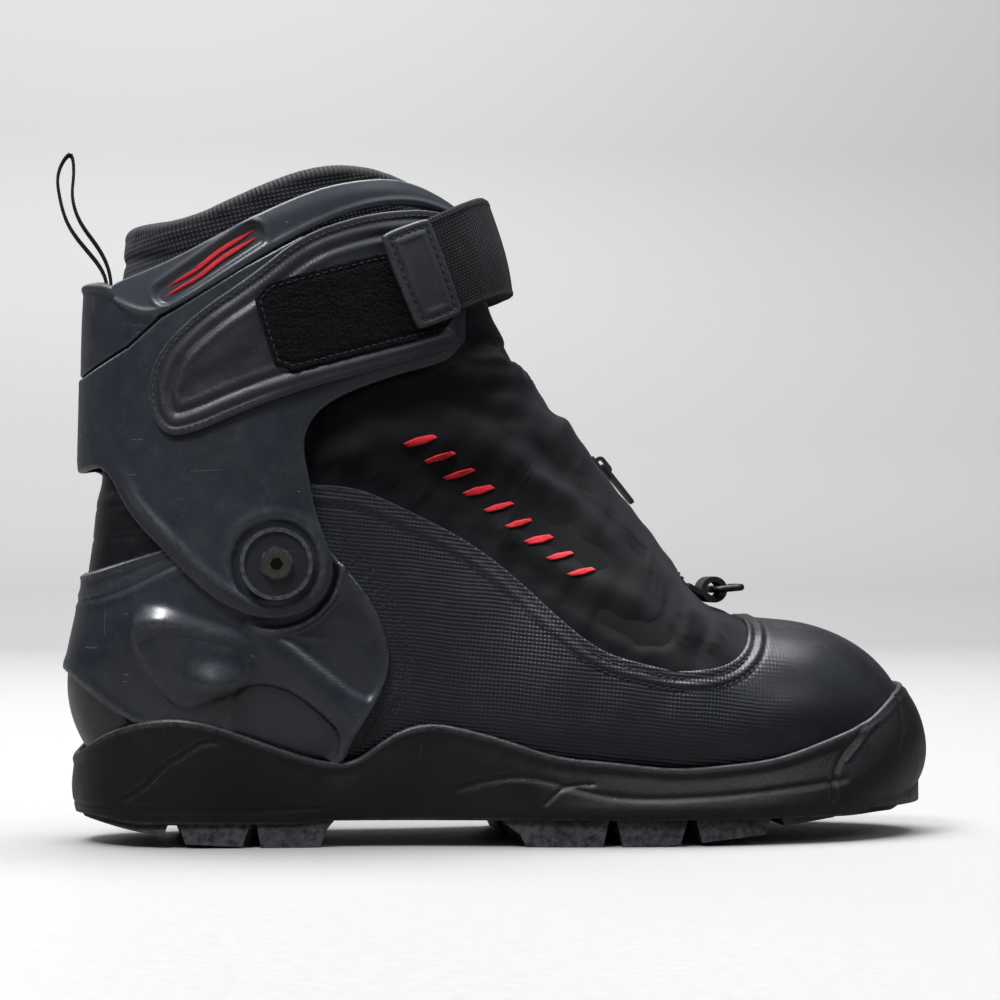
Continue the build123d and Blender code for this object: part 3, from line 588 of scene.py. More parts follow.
# ---------------------------------------------------------------- materials
class Mat:
    """A principled material and short calls for the nodes that feed it."""

    def __init__(self, name):
        self.material = bpy.data.materials.new(name)
        self.material.use_nodes = True
        self.tree = self.material.node_tree
        self.shader = next(n for n in self.tree.nodes if n.type == "BSDF_PRINCIPLED")
        self.coords = self.node("TexCoord")
        self.normal = None

    def node(self, kind, **inputs):
        """Adds a node; underscores in input names stand for spaces."""
        node = self.tree.nodes.new("ShaderNode" + kind)
        for key, value in inputs.items():
            self.put(node.inputs[key.replace("_", " ")], value)
        return node

    def put(self, socket, value):
        if isinstance(value, bpy.types.NodeSocket):
            self.tree.links.new(value, socket)
        elif socket.type == "RGBA":
            socket.default_value = value + (1,)
        else:
            socket.default_value = value

    def vec(self, kind="Object", scale=(1000, 1000, 1000), rot=(0, 0, 0), loc=(0, 0, 0)):
        return self.node("Mapping", Vector=self.coords.outputs[kind], Scale=scale,
                         Rotation=rot, Location=loc).outputs["Vector"]

    def math(self, operation, first, second=0.0, third=0.0, clamp=False):
        node = self.node("Math")
        node.operation = operation
        node.use_clamp = clamp
        for socket, value in zip(node.inputs, (first, second, third)):
            self.put(socket, value)
        return node.outputs[0]

    def mul(self, first, second, clamp=False):
        return self.math("MULTIPLY", first, second, clamp=clamp)

    def add(self, first, second, clamp=False):
        return self.math("ADD", first, second, clamp=clamp)

    def above(self, value, limit):
        return self.math("GREATER_THAN", value, limit)

    def noise(self, vec, scale, detail=4.0, rough=0.55, dist=0.0):
        return self.node("TexNoise", Vector=vec, Scale=scale, Detail=detail, Roughness=rough,
                         Distortion=dist).outputs["Fac"]

    def sep(self, vec):
        return self.node("SeparateXYZ", Vector=vec).outputs

    def span(self, value, lo, hi, to=(0.0, 1.0)):
        node = self.node("MapRange", Value=value, From_Min=lo, From_Max=hi, To_Min=to[0],
                         To_Max=to[1])
        return node.outputs[0]

    def mix(self, factor, first, second):
        node = self.node("Mix")
        node.data_type = "RGBA"
        self.put(node.inputs["Factor"], factor)
        for key, value in (("A", first), ("B", second)):
            socket = next(s for s in node.inputs if s.name == key and s.type == "RGBA")
            self.put(socket, value)
        return next(s for s in node.outputs if s.type == "RGBA")

    def wave(self, coord, pitch, sharp=1.0):
        """Ridges from 0 to 1, pitch in mm."""
        sine = self.math("SINE", self.mul(coord, 2 * math.pi / pitch))
        sine = self.math("MULTIPLY_ADD", sine, 0.5, 0.5)
        return self.math("POWER", sine, sharp) if sharp != 1.0 else sine

    def bump(self, height, depth, strength):
        """Adds a bump, depth in mm, over the ones before."""
        node = self.node("Bump", Height=height, Distance=depth * MM, Strength=strength)
        if self.normal is not None:
            self.put(node.inputs["Normal"], self.normal)
        self.normal = node.outputs["Normal"]

    def convex(self, lo, hi):
        return self.span(self.node("NewGeometry").outputs["Pointiness"], lo=lo, hi=hi)

    def finish(self, color, rough, metallic=0.0, sheen=0.0, spec=0.5,
               sheen_tint=(0.6, 0.65, 0.75)):
        values = {"Base Color": color, "Roughness": rough, "Metallic": metallic,
                  "Specular IOR Level": spec}
        if sheen:
            values.update({"Sheen Weight": sheen, "Sheen Roughness": 0.45,
                           "Sheen Tint": sheen_tint})
        if self.normal is not None:
            values["Normal"] = self.normal
        for key, value in values.items():
            self.put(self.shader.inputs[key], value)
        return self.material


def worn(m, spot, base, light, wear, dust, dust_color=(0.050, 0.051, 0.054), lo=0.505,
         hi=0.56):
    """Cloudy colour with scuffed convex edges and dust. Returns it and the dust mask."""
    cloud = m.noise(spot, scale=0.022)
    fine = m.noise(spot, scale=0.5, detail=3, rough=0.6)
    color = m.mix(m.span(cloud, lo=0.30, hi=0.74), base, light)
    scuff = m.mul(m.convex(lo, hi), m.span(fine, lo=0.3, hi=0.6), clamp=True)
    color = m.mix(m.mul(scuff, wear, clamp=True), color, (0.070, 0.073, 0.082))
    grime = m.span(m.noise(spot, scale=0.16, detail=7, rough=0.72), lo=0.52, hi=0.80)
    grime = m.mul(grime, dust, clamp=True)
    return m.mix(grime, color, dust_color), grime


def scratches(m, tilt=0.5):
    """Long thin marks, as a 0..1 mask."""
    first = m.vec(scale=(60, 60, 900), rot=(0, tilt, 0))
    first = m.above(m.noise(first, scale=1.2, detail=2, rough=0.5), 0.735)
    second = m.vec(scale=(700, 50, 50), rot=(0, -tilt * 0.8, 0.2), loc=(3.1, 1.7, 0.4))
    second = m.above(m.noise(second, scale=1.1, detail=2, rough=0.5), 0.745)
    return m.math("MAXIMUM", first, second)


def mat_vamp():
    """Coated textile with an embossed grid that fades out over the toe and the top."""
    m = Mat("coated_textile")
    spot = m.vec()
    x, _, z = m.sep(m.vec(rot=(0, math.radians(-6), 0)))
    warp = m.mul(m.math("SUBTRACT", m.noise(spot, scale=0.03, detail=2), 0.5), 2.2)
    rows = m.wave(m.add(z, warp), pitch=1.28, sharp=0.8)
    columns = m.wave(m.add(x, warp), pitch=1.28, sharp=0.8)
    grid = m.add(m.mul(rows, 0.62), m.mul(columns, 0.38))
    x, _, z = m.sep(spot)
    toe = m.span(m.add(x, m.mul(m.noise(spot, scale=0.05), 14)), lo=178, hi=152)
    high = m.math("MAXIMUM", m.span(z, lo=70, hi=57), m.span(x, lo=128, hi=112))
    fade = m.mul(toe, high, clamp=True)
    color, grime = worn(m, spot, (0.0042, 0.0046, 0.0064), (0.0080, 0.0088, 0.0120),
                        wear=0.30, dust=0.12)
    lit = m.mul(m.span(grid, lo=0.35, hi=0.95), fade, clamp=True)
    color = m.mix(m.mul(lit, 0.55), color, (0.0145, 0.016, 0.0205))
    rough = m.span(m.noise(spot, scale=0.08), lo=0.3, hi=0.7, to=(0.30, 0.42))
    rough = m.add(rough, m.mul(grime, 0.3), clamp=True)
    m.bump(m.mul(grid, fade), depth=0.24, strength=0.75)
    m.bump(m.noise(spot, scale=1.6, rough=0.6), depth=0.07, strength=0.4)
    return m.finish(color, rough, spec=0.38)


def mat_soft():
    m = Mat("softshell")
    spot = m.vec()
    x, _, z = m.sep(spot)
    weave = m.mul(m.wave(m.add(x, z), pitch=0.62),
                  m.wave(m.math("SUBTRACT", x, z), pitch=0.62))
    cloud = m.noise(spot, scale=0.06, detail=5, rough=0.6)
    color = m.mix(m.span(cloud, lo=0.35, hi=0.7), (0.0016, 0.0017, 0.0022),
                  (0.0040, 0.0042, 0.0053))
    lint = m.above(m.noise(spot, scale=1.3, detail=3, rough=0.7), 0.725)
    color = m.mix(m.mul(lint, 0.25), color, (0.022, 0.022, 0.024))
    m.bump(weave, depth=0.10, strength=0.6)
    m.bump(m.noise(spot, scale=0.25, detail=5, rough=0.6), depth=0.45, strength=0.45)
    return m.finish(color, rough=0.78, sheen=0.05, spec=0.14)


def mat_plastic(name, base, light, rough, bump, wear, dust, scratch, spec, grain=2.2,
                broad=0.25):
    """Scratched plastic. bump is the grain's depth, broad that of the wide waviness."""
    m = Mat(name)
    spot = m.vec()
    color, grime = worn(m, spot, base, light, wear, dust)
    marks = scratches(m)
    color = m.mix(m.mul(marks, scratch), color, (0.050, 0.052, 0.058))
    cloud = m.noise(spot, scale=0.12, detail=5, rough=0.65)
    rough = m.add(m.span(cloud, lo=0.3, hi=0.7, to=rough), m.mul(grime, 0.45), clamp=True)
    m.bump(m.noise(spot, scale=grain, detail=3, rough=0.6), depth=bump, strength=0.6)
    m.bump(m.noise(spot, scale=0.10, detail=3, rough=0.5), depth=broad, strength=0.35)
    m.bump(m.mul(marks, -1.0), depth=0.05, strength=0.6)
    return m.finish(color, rough, spec=spec)


def mat_rubber(name, base, light, dust, dust_color, rough):
    m = Mat(name)
    spot = m.vec()
    color, grime = worn(m, spot, base, light, wear=0.75, dust=dust, dust_color=dust_color,
                        lo=0.507, hi=0.55)
    color = m.mix(m.mul(scratches(m, tilt=0.15), 0.3), color, (0.034, 0.034, 0.034))
    cloud = m.noise(spot, scale=0.09, detail=6, rough=0.7)
    rough = m.add(m.span(cloud, lo=0.32, hi=0.7, to=rough), m.mul(grime, 0.3), clamp=True)
    m.bump(m.noise(spot, scale=1.7, detail=5, rough=0.65), depth=0.16, strength=0.6)
    m.bump(m.noise(spot, scale=0.16, detail=3, rough=0.5), depth=0.5, strength=0.3)
    return m.finish(color, rough, spec=0.34)


def mat_web(name, base, light, pitch):
    """Webbing with ribs across its length, which is V in mm."""
    m = Mat(name)
    across, length, _ = m.sep(m.vec("UV", scale=(1, 1, 1)))
    spot = m.vec()
    rib = m.wave(length, pitch, sharp=0.7)
    shift = m.mul(m.math("FLOOR", m.math("DIVIDE", length, pitch)), 0.55)
    thread = m.wave(m.add(across, shift), pitch=1.1)
    height = m.add(m.mul(rib, 0.7), m.mul(thread, 0.3))
    # painted shade and highlight: the colour follows the rib height, darker in the grooves
    # between ribs and lighter on the rib tops
    color = m.mix(m.span(height, lo=0.25, hi=0.95), base, light)
    grime = m.span(m.noise(spot, scale=0.2, detail=5, rough=0.7), lo=0.5, hi=0.75)
    color = m.mix(m.mul(grime, 0.3), color, (0.030, 0.028, 0.026))
    m.bump(height, depth=0.42, strength=0.9)
    m.bump(m.noise(spot, scale=3.0, rough=0.7), depth=0.12, strength=0.5)
    return m.finish(color, rough=0.82, sheen=0.04, spec=0.18)


def mat_mesh():
    m = Mat("ribbed_mesh")
    across, length, _ = m.sep(m.vec("UV", scale=(1, 1, 1)))
    spot = m.vec()
    rib = m.wave(length, pitch=1.55, sharp=0.8)
    hole = m.wave(m.add(across, m.mul(rib, 0.3)), pitch=1.25, sharp=1.2)
    height = m.mul(rib, m.math("MULTIPLY_ADD", hole, 0.55, 0.45))
    # painted shade and highlight: the colour follows the rib and hole height, near black in the
    # holes and between ribs, lighter on the rib tops
    color = m.mix(m.span(height, lo=0.1, hi=0.85), (0.0012, 0.0012, 0.0016),
                  (0.0165, 0.0175, 0.0210))
    grime = m.span(m.noise(spot, scale=0.08, detail=5, rough=0.6), lo=0.5, hi=0.8)
    color = m.mix(m.mul(grime, 0.2), color, (0.020, 0.020, 0.022))
    m.bump(height, depth=0.5, strength=0.95)
    m.bump(m.noise(spot, scale=2.2, rough=0.6), depth=0.1, strength=0.4)
    return m.finish(color, rough=0.72, sheen=0.06, spec=0.3)


def mat_pile():
    m = Mat("loop_pile")
    spot = m.vec()
    loops = m.node("TexVoronoi", Vector=spot, Scale=1.25).outputs["Distance"]
    fibre = m.noise(spot, scale=2.6, detail=5, rough=0.75, dist=0.6)
    loops = m.mul(m.span(loops, lo=0, hi=0.8, to=(1, 0)), 0.55)
    height = m.add(loops, m.mul(fibre, 0.6))
    # painted shade and highlight: the colour follows the pile height, near black between the
    # loops and lighter on the loop tops and fibres
    color = m.mix(m.span(height, lo=0.35, hi=0.95), (0.0008, 0.0008, 0.0010),
                  (0.0085, 0.0088, 0.0098))
    lint = m.above(m.noise(spot, scale=0.9, rough=0.75), 0.70)
    color = m.mix(m.mul(lint, 0.25), color, (0.024, 0.024, 0.024))
    m.bump(height, depth=0.8, strength=1.0)
    return m.finish(color, rough=0.95, sheen=0.08, spec=0.10)


def mat_metal(name, base, rough, wear):
    m = Mat(name)
    spot = m.vec()
    cloud = m.span(m.noise(spot, scale=0.4, detail=6, rough=0.7), lo=0.35, hi=0.7)
    color = m.mix(cloud, base, tuple(c * 0.55 for c in base))
    color = m.mix(m.mul(m.convex(lo=0.51, hi=0.6), wear, clamp=True), color,
                  tuple(min(1, c * 1.8 + 0.1) for c in base))
    gloss = m.span(m.noise(spot, scale=0.8, detail=5, rough=0.7), lo=0.3, hi=0.7,
                   to=(rough - 0.08, rough + 0.14))
    brushed = m.vec(scale=(300, 2600, 300))
    m.bump(m.noise(brushed, scale=0.6, detail=3), depth=0.04, strength=0.5)
    return m.finish(color, gloss, metallic=1.0)


def mat_thread(name, base, light):
    m = Mat(name)
    x, _, z = m.sep(m.vec())
    twist = m.wave(m.add(x, m.mul(z, 1.7)), pitch=0.45)
    # painted shade and highlight: darker and lighter bands follow the twist of the thread,
    # darker in the grooves between plies
    color = m.mix(twist, base, light)
    m.bump(twist, depth=0.08, strength=0.7)
    return m.finish(color, rough=0.7, sheen=0.2, spec=0.3)


def mat_red():
    m = Mat("red_embroidery")
    spot = m.vec()
    x, _, z = m.sep(spot)
    twist = m.wave(m.add(m.mul(x, 0.8), z), pitch=0.55)
    # painted shade and highlight: darker and brighter red bands follow the twist of the thread,
    # darker in the grooves between plies
    color = m.mix(twist, (0.34, 0.003, 0.008), (0.74, 0.010, 0.022))
    color = m.mix(m.span(m.noise(spot, scale=0.4), lo=0.5, hi=0.8, to=(0, 0.5)), color,
                  (0.30, 0.01, 0.012))
    m.bump(twist, depth=0.14, strength=0.8)
    return m.finish(color, rough=0.55, sheen=0.1, spec=0.4, sheen_tint=(1, 0.4, 0.4))


MATS = {
    "vamp": mat_vamp(),
    "soft": mat_soft(),
    "counter": mat_plastic(
        "counter_tpu", (0.0070, 0.0084, 0.0125), (0.0185, 0.0215, 0.0295), rough=(0.24, 0.36),
        bump=0.05, wear=0.7, dust=0.22, scratch=0.55, spec=0.75, grain=1.8, broad=0.35),
    "cuff": mat_plastic(
        "cuff_tpu", (0.0068, 0.0084, 0.0130), (0.0160, 0.0190, 0.0275), rough=(0.30, 0.42),
        bump=0.08, wear=0.9, dust=0.22, scratch=0.45, spec=0.62),
    "rim": mat_plastic(
        "rim_tpu", (0.026, 0.030, 0.0375), (0.042, 0.048, 0.060), rough=(0.32, 0.42),
        bump=0.05, wear=0.5, dust=0.08, scratch=0.10, spec=0.55),
    "flap": mat_plastic(
        "flap_textile", (0.0085, 0.0096, 0.0128), (0.0165, 0.0182, 0.0235),
        rough=(0.34, 0.48), bump=0.12, wear=0.6, dust=0.12, scratch=0.10, spec=0.45,
        grain=1.2),
    "quarter": mat_plastic(
        "quarter_coated", (0.0022, 0.0023, 0.0030), (0.0050, 0.0052, 0.0064),
        rough=(0.24, 0.38), bump=0.10, wear=0.4, dust=0.08, scratch=0.12, spec=0.5,
        grain=0.9),
    "rand": mat_rubber(
        "rand_rubber", (0.0030, 0.0030, 0.0031), (0.0064, 0.0064, 0.0064), dust=0.22,
        dust_color=(0.024, 0.0235, 0.022), rough=(0.30, 0.46)),
    "tread": mat_rubber(
        "tread_rubber", (0.0042, 0.0042, 0.0042), (0.0085, 0.0085, 0.0082), dust=0.12,
        dust_color=(0.018, 0.0175, 0.016), rough=(0.44, 0.58)),
    "web": mat_web("webbing", (0.0018, 0.0018, 0.0020), (0.0080, 0.0083, 0.0090), pitch=1.45),
    "webfine": mat_web("loop_webbing", (0.0040, 0.0040, 0.0046), (0.0170, 0.0175, 0.019),
                       pitch=0.9),
    "mesh": mat_mesh(),
    "pile": mat_pile(),
    "tab": mat_plastic(
        "tab_rubber", (0.0080, 0.0090, 0.0112), (0.0150, 0.0165, 0.0200), rough=(0.36, 0.50),
        bump=0.10, wear=0.8, dust=0.2, scratch=0.12, spec=0.45),
    "steel": mat_metal("bar_steel", (0.42, 0.42, 0.43), rough=0.3, wear=0.3),
    "bolt": mat_metal("bolt_steel", (0.060, 0.054, 0.042), rough=0.36, wear=0.5),
    "zip": mat_metal("zip_metal", (0.030, 0.030, 0.034), rough=0.38, wear=0.5),
    "ring": mat_metal("ring_metal", (0.035, 0.035, 0.038), rough=0.35, wear=0.4),
    "disc": mat_plastic(
        "disc_tpu", (0.0085, 0.0098, 0.0130), (0.0150, 0.0168, 0.0215), rough=(0.26, 0.36),
        bump=0.05, wear=0.9, dust=0.12, scratch=0.25, spec=0.6),
    "thread": mat_thread("thread_black", (0.0030, 0.0030, 0.0035), (0.0150, 0.0150, 0.0170)),
    "grey_thread": mat_thread("thread_grey", (0.014, 0.014, 0.015), (0.050, 0.050, 0.053)),
    "red": mat_red(),
}


def dress(obj, mat, slot=None, body=None, *replaces):
    obj.data.materials.append(MATS[mat])
    if replaces:
        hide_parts(*replaces)
    if body:
        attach(obj, body)


# CAD pieces that stay visible
CAD_MATS = {
    "outsole": "tread", "toe_bar": "steel", "pivot_bolts": "bolt", "pivot_discs": "disc",
    "zip_chain": "zip", "zip_slider": "zip", "zip_pull": "zip", "gaiter_ring": "ring",
    "gaiter_tab": "webfine", "shank_board": "quarter", "pivot_bushes": "quarter",
    "pivot_nuts": "bolt", "lace": "thread", "lace_hooks": "bolt", "eyestay": "webfine",
    "zip_tape": "webfine", "footbed": "pile", "tongue": "mesh"}
for node_name, mat in CAD_MATS.items():
    cad_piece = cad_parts[node_name]
    if cad_piece.material_slots:
        for mat_slot in cad_piece.material_slots:
            mat_slot.material = MATS[mat]
    else:
        cad_piece.data.materials.append(MATS[mat])

# ---------------------------------------------------------------- shared side-view lines (x, z)
SEAM = [(12.9, 115.7), (25.5, 114.7), (40.9, 108.9), (60.3, 99.2), (77.7, 86.6), (93.2, 72.1),
        (104.8, 63.4), (118.4, 58.6), (134.6, 56.2), (146.5, 58.2), (155.0, 63.8),
        (158.6, 70.6)]
COUNTER_FRONT = [(11.7, 103.0), (17.4, 95.3), (27.1, 83.8), (34.8, 70.2), (36.7, 60.6),
                 (32.9, 47.1), (25.2, 33.6), (21.0, 20.0)]
CUFF_LOW = [(-62.1, 120.2), (-55.9, 121.2), (-50.2, 112.6), (-36.8, 95.3), (-25.2, 83.8),
            (-13.7, 76.1), (-2.2, 73.2), (9.3, 75.1), (17.0, 81.9), (18.5, 91.5),
            (15.1, 101.1), (12.2, 110.6), (10.3, 120.2), (9.3, 129.8), (12.2, 136.6),
            (20.8, 143.3), (32.3, 148.1), (47.7, 152.9), (59.2, 157.7), (62.7, 161.5)]
RIM_LOW = [(-60.7, 151.1), (-46.3, 159.7), (-36.7, 168.4), (-11.7, 183.8), (7.6, 194.4),
           (26.8, 201.1), (44.1, 204.0), (53.7, 204.0)]
# top edge of the sole wall
SOLE_WAVE = [(-75.0, 24.5), (-63.5, 26.5), (-54.2, 34.5), (-42.5, 39.9), (-30.7, 41.3),
             (-19.2, 39.4), (-7.9, 35.5), (7.5, 30.0), (17.4, 27.5), (25.1, 27.8),
             (32.9, 32.6), (40.6, 37.4), (50.1, 39.4), (59.9, 38.0), (75.3, 33.7),
             (88.8, 29.4), (108.2, 26.9), (127.3, 25.0), (146.4, 25.9), (161.9, 27.8),
             (181.4, 33.7), (198.0, 40.0), (208.0, 46.5), (214.5, 50.0), (230.0, 51.0)]

FOOT_RUNS = even(0, foot.end, 430)
FOOT_TURNS = np.linspace(-1, 1, int(300 * DETAIL) | 1)
SHAFT_TURNS = np.linspace(-math.pi, math.pi, int(430 * DETAIL) | 1)


def stations(first, last, every=1):
    """Foot runs between two rows of the section table."""
    runs = FOOT_RUNS[::every]
    return runs[(runs >= foot.knots[first]) & (runs <= foot.knots[last])]


seam = smooth_line(SEAM, 90)
front = smooth_line(COUNTER_FRONT, 60)
seam_dist, front_dist = line(seam), line(front)

# ---------------------------------------------------------------- vamp
VAMP = np.concatenate([[(232, 4), (232, 95), (159.0, 95)], seam[::-1], [(2.0, 119.0)],
                       front - [8.5, 0], [(12, 4)]])
# soft dents over the forefoot: upper x, z, lower x, z, width, height
DENTS = [(128, 56, 121, 30, 7, -0.9), (150, 58, 147, 34, 8, -0.7),
         (108, 62, 100, 34, 8, -0.5), (139, 60, 135, 36, 6, 0.4)]


def vamp_relief(pos, *_):
    from_seam, from_front = seam_dist(pos), front_dist(pos)
    ahead = step(pos[..., 0] - 20, 10)
    tip = step(pos[..., 0] - 120, 8)
    rise = ridges(from_seam, (2.6, 0.55, -0.34), (6.4, 0.55, -0.30), (4.5, 1.3, 0.25))
    rise += ahead * ridges(from_front, (3.0, 0.55, -0.30), (6.2, 0.5, -0.26))
    rise += 0.28 * step(5.4 - from_seam, 0.5)
    rise += tip * ridges(from_seam, (1.3, 0.8, 0.40), (4.9, 0.8, 0.32))
    for x0, z0, x1, z1, width, height in DENTS:
        dent = line([(x0, z0), ((x0 + x1) / 2 - 2, (z0 + z1) / 2), (x1, z1)])
        rise += height * bell(dent(pos), width)
    return rise


vamp = panel("vamp_skin", foot, stations(0, 16), FOOT_TURNS, area(VAMP), (-1.9, 0.55),
             edge=0.7, relief=vamp_relief)
dress(vamp, "vamp", "vamp_textile", "lower_boot", "vamp")

# ---------------------------------------------------------------- cloth sheets
CLOTH_FRAMES = 20
CLOTH_TENSION = 12.0


def cloth_map(runs, turns, free, off, shrink, pressure, lowest, highest, bending):
    """Simulates a sheet on the foot and returns its rise as a function of run and turn.

    The sheet moves where the field free is below -3 and is held where it is above -1.
    """
    run, turn = np.meshgrid(runs, turns, indexing="ij")
    pos = foot.xyz(run, turn, off)
    normal = foot.xyz(run, turn, off + 0.25) - foot.xyz(run, turn, off - 0.25)
    normal /= np.linalg.norm(normal, axis=-1)[..., None] + 1e-12
    hold = free(pos)
    index = np.arange(run.size).reshape(run.shape)
    quads = [index[:-1, :-1], index[1:, :-1], index[1:, 1:], index[:-1, 1:]]
    quads = np.stack(quads, -1).reshape(-1, 4)
    if np.cross(pos[1, 1] - pos[0, 1], pos[0, 2] - pos[0, 1]) @ normal[0, 1] < 0:
        quads = quads[:, ::-1]
    sheet = new_mesh("sheet", pos.reshape(-1, 3), quads)
    group = sheet.vertex_groups.new(name="pin")
    for k, dist in enumerate(hold.reshape(-1)):
        group.add([k], float(np.clip((dist + 3.0) / 2.0, 0, 1)), "REPLACE")
    cloth = sheet.modifiers.new("cloth", "CLOTH")
    settings = cloth.settings
    settings.quality = 5
    settings.mass = 0.25
    settings.tension_stiffness = settings.compression_stiffness = CLOTH_TENSION
    settings.shear_stiffness = CLOTH_TENSION * 0.6
    settings.bending_stiffness = bending
    settings.air_damping = 4.0
    settings.vertex_group_mass = "pin"
    settings.pin_stiffness = 5.0
    settings.shrink_min = shrink
    settings.use_pressure = True
    settings.uniform_pressure_force = pressure
    settings.effector_weights.gravity = 0.0
    cloth.collision_settings.use_collision = False
    cloth.point_cache.frame_start = 1
    cloth.point_cache.frame_end = CLOTH_FRAMES
    scene = bpy.context.scene
    for number in range(1, CLOTH_FRAMES + 1):
        scene.frame_set(number)
    moved = sheet.evaluated_get(bpy.context.evaluated_depsgraph_get())
    coords = np.empty(run.size * 3)
    moved.data.vertices.foreach_get("co", coords)
    raw = ((coords.reshape(pos.shape) / MM - pos) * normal).sum(-1)
    raw = np.where(np.isfinite(raw), raw, 0)
    scene.frame_set(1)
    mesh = sheet.data
    bpy.data.objects.remove(sheet, do_unlink=True)
    bpy.data.meshes.remove(mesh)
    rise = raw.copy()
    rise[1:-1, 1:-1] = (raw[1:-1, 1:-1] * 4 + raw[:-2, 1:-1] + raw[2:, 1:-1]
                        + raw[1:-1, :-2] + raw[1:-1, 2:]) / 8
    # soft limits
    middle, half = (lowest + highest) / 2, (highest - lowest) / 2
    rise = middle + half * np.tanh((rise - middle) / half)
    rise = np.where(hold > -1.0, 0, rise)

    def at(run, turn):
        parts = []
        for place, knots in ((run, runs), (turn, turns)):
            count = len(knots)
            share = (place - knots[0]) / (knots[-1] - knots[0]) * (count - 1)
            parts.append(cell(share, count))
        (i, part_i), (j, part_j) = parts
        return bilinear(rise, i, j, part_i * part_i * (3 - 2 * part_i),
                        part_j * part_j * (3 - 2 * part_j))
    return at


# ---------------------------------------------------------------- lace cover over the ankle
COVER = np.concatenate([
    [(174, 95), (160.5, 95), (160.5, 69.8)], seam[::-1] + [0, -1.4],
    [(2, 117), (3, 136), (14, 152), (34, 160), (48, 172), (50, 207), (90, 207), (140, 150)]])
FOLDS = [  # polyline, width, height
    ([(16, 122), (40, 130), (66, 127), (92, 112)], 5.0, 1.25),
    ([(14, 131), (42, 141), (70, 139), (94, 128)], 4.2, -0.9),
    ([(22, 141), (50, 149), (74, 150), (90, 143)], 4.0, 1.3),
    ([(40, 152), (62, 159), (80, 158)], 3.4, -1.1),
    ([(56, 118), (80, 104), (104, 92)], 6.0, -0.8),
    ([(72, 104), (96, 88), (118, 80)], 5.0, 0.9),
    ([(100, 74), (118, 68), (136, 66)], 4.0, -0.7),
    ([(118, 64), (126, 72), (131, 82)], 2.6, -1.0),
    ([(127, 62), (135, 70), (139, 78)], 2.6, 0.9),
    ([(137, 61), (142, 68), (146, 74)], 2.2, -0.9),
    ([(86, 118), (98, 112), (110, 100)], 3.6, 1.0),
    ([(78, 134), (90, 131), (101, 122)], 3.0, 1.0),
    ([(70, 146), (84, 146), (95, 138)], 3.0, -1.0),
    ([(66, 156), (78, 156), (88, 151)], 2.6, 1.5),
    ([(62, 163), (74, 164), (84, 160)], 2.4, -1.0),
]
fold_fields = [(curve(points, 30), width, height) for points, width, height in FOLDS]
COVER_FREE = [(12, 140), (30, 153), (50, 163), (58, 165), (80, 168), (140, 150), (172, 95),
              (162, 95), (156, 73)] + [(x, z + 3) for x, z in SEAM[-3::-1]]
cover_rise = cloth_map(
    np.linspace(foot.knots[3], foot.knots[17], 84), np.linspace(-0.78, 0.78, 80),
    area(COVER_FREE), off=0.0, shrink=-0.055, pressure=0.6, lowest=-0.55, highest=1.9,
    bending=0.35)
# the zip falls forwards: x and z shares of its direction
ZIP_X, ZIP_Z = 0.632, 0.775
ZIP_START = (95.0, 138.0)
ZIP_END = (141.0, 81.5)


def cover_relief(pos, _, run, turn):
    x, y, z = pos[..., 0], pos[..., 1], pos[..., 2]
    along_zip = (x - ZIP_START[0]) * ZIP_X - (z - ZIP_START[1]) * ZIP_Z
    rise = np.zeros(x.shape)
    strength = np.where(y < 0, 1.0, 0.8)
    for field, width, height in fold_fields:
        rise += 1.25 * height * strength * bell(field(pos), width)
    rise *= step(seam_dist(pos) - 5, 5)
    # calmer along the front ridge and flat under the zip
    near_zip = bell(y, 5.0) * step(along_zip - 8, 6)
    ridge = bell(y, 15.0) * (1 - step(z - 146, 6))
    rise = rise * (1 - 0.75 * ridge) + 1.25 * cover_rise(run, turn) * (1 - 0.5 * ridge)
    rise *= 1 - near_zip
    # welts either side of the zip
    across = np.abs(y) - 5.6
    depth = (x - ZIP_END[0]) * ZIP_Z + (z - ZIP_END[1]) * ZIP_X
    top = np.maximum(0, depth + 9.0)
    welt = np.where(across < 0, bell(across, 1.35), bell(across, 8.0))
    rise += 4.1 * welt * step(along_zip + 2, 8) * step(72 - along_zip, 7) * step(top - 3, 5)
    # fine fabric waves
    rise += 0.30 * np.sin(x * 0.21 + z * 0.34 + 1.3 * np.sin(z * 0.09))
    return rise + 0.20 * np.sin(x * 0.47 - z * 0.30 + 2.0) - 0.15


cover = panel("lace_cover_skin", foot, stations(3, 21), FOOT_TURNS, area(rounded(COVER, 1)),
              (-1.2, 0.0), edge=0.4, relief=cover_relief)
dress(cover, "soft", "softshell", None, "lace_cover", "cover_gusset")
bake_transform(cover)

# ---------------------------------------------------------------- heel counter
COUNTER = np.concatenate([
    front[:-6], [(25.2, 32.0), (21.5, 26.2), (7.5, 27.3)],
    [(x, z - 2.5) for x, z in SOLE_WAVE[6:0:-1]],
    [(-75, 22), (-75, 86.2), (-59.7, 86.6), (-48, 90.5), (-36.3, 94.4), (-20, 101),
     (-6, 107.5), (6, 108)]])
# raised pad
in_pad = area(rounded([
    (-42.5, 76.5), (-36, 77.2), (-29.8, 74.6), (-19.2, 72.2), (-10.7, 68.6), (-4.5, 63.0),
    (-5.0, 56.0), (-10.5, 50.5), (-18.0, 46.0), (-27.0, 43.0), (-33.0, 46.0), (-38.5, 52.0),
    (-43.0, 59.0), (-45.6, 66.4), (-45.2, 72.5)], 3))
# sunk half-round field above the sole
in_half_round = area(rounded([
    (-13.5, 36), (-13.6, 44), (-11.6, 50.8), (-6.5, 52.6), (0.5, 52.0), (7.6, 48.8),
    (16.0, 42.0), (21.5, 36.2), (20, 26), (-2, 22), (-14, 29)]))
# sunk field at the front edge
in_wedge = area(rounded([
    (-0.9, 68.4), (5.5, 69.8), (11.1, 72.1), (17.5, 78.4), (26, 84), (35, 72), (38, 60),
    (33, 47), (27.0, 47.0), (16, 55.6), (6, 63.5)], 1))
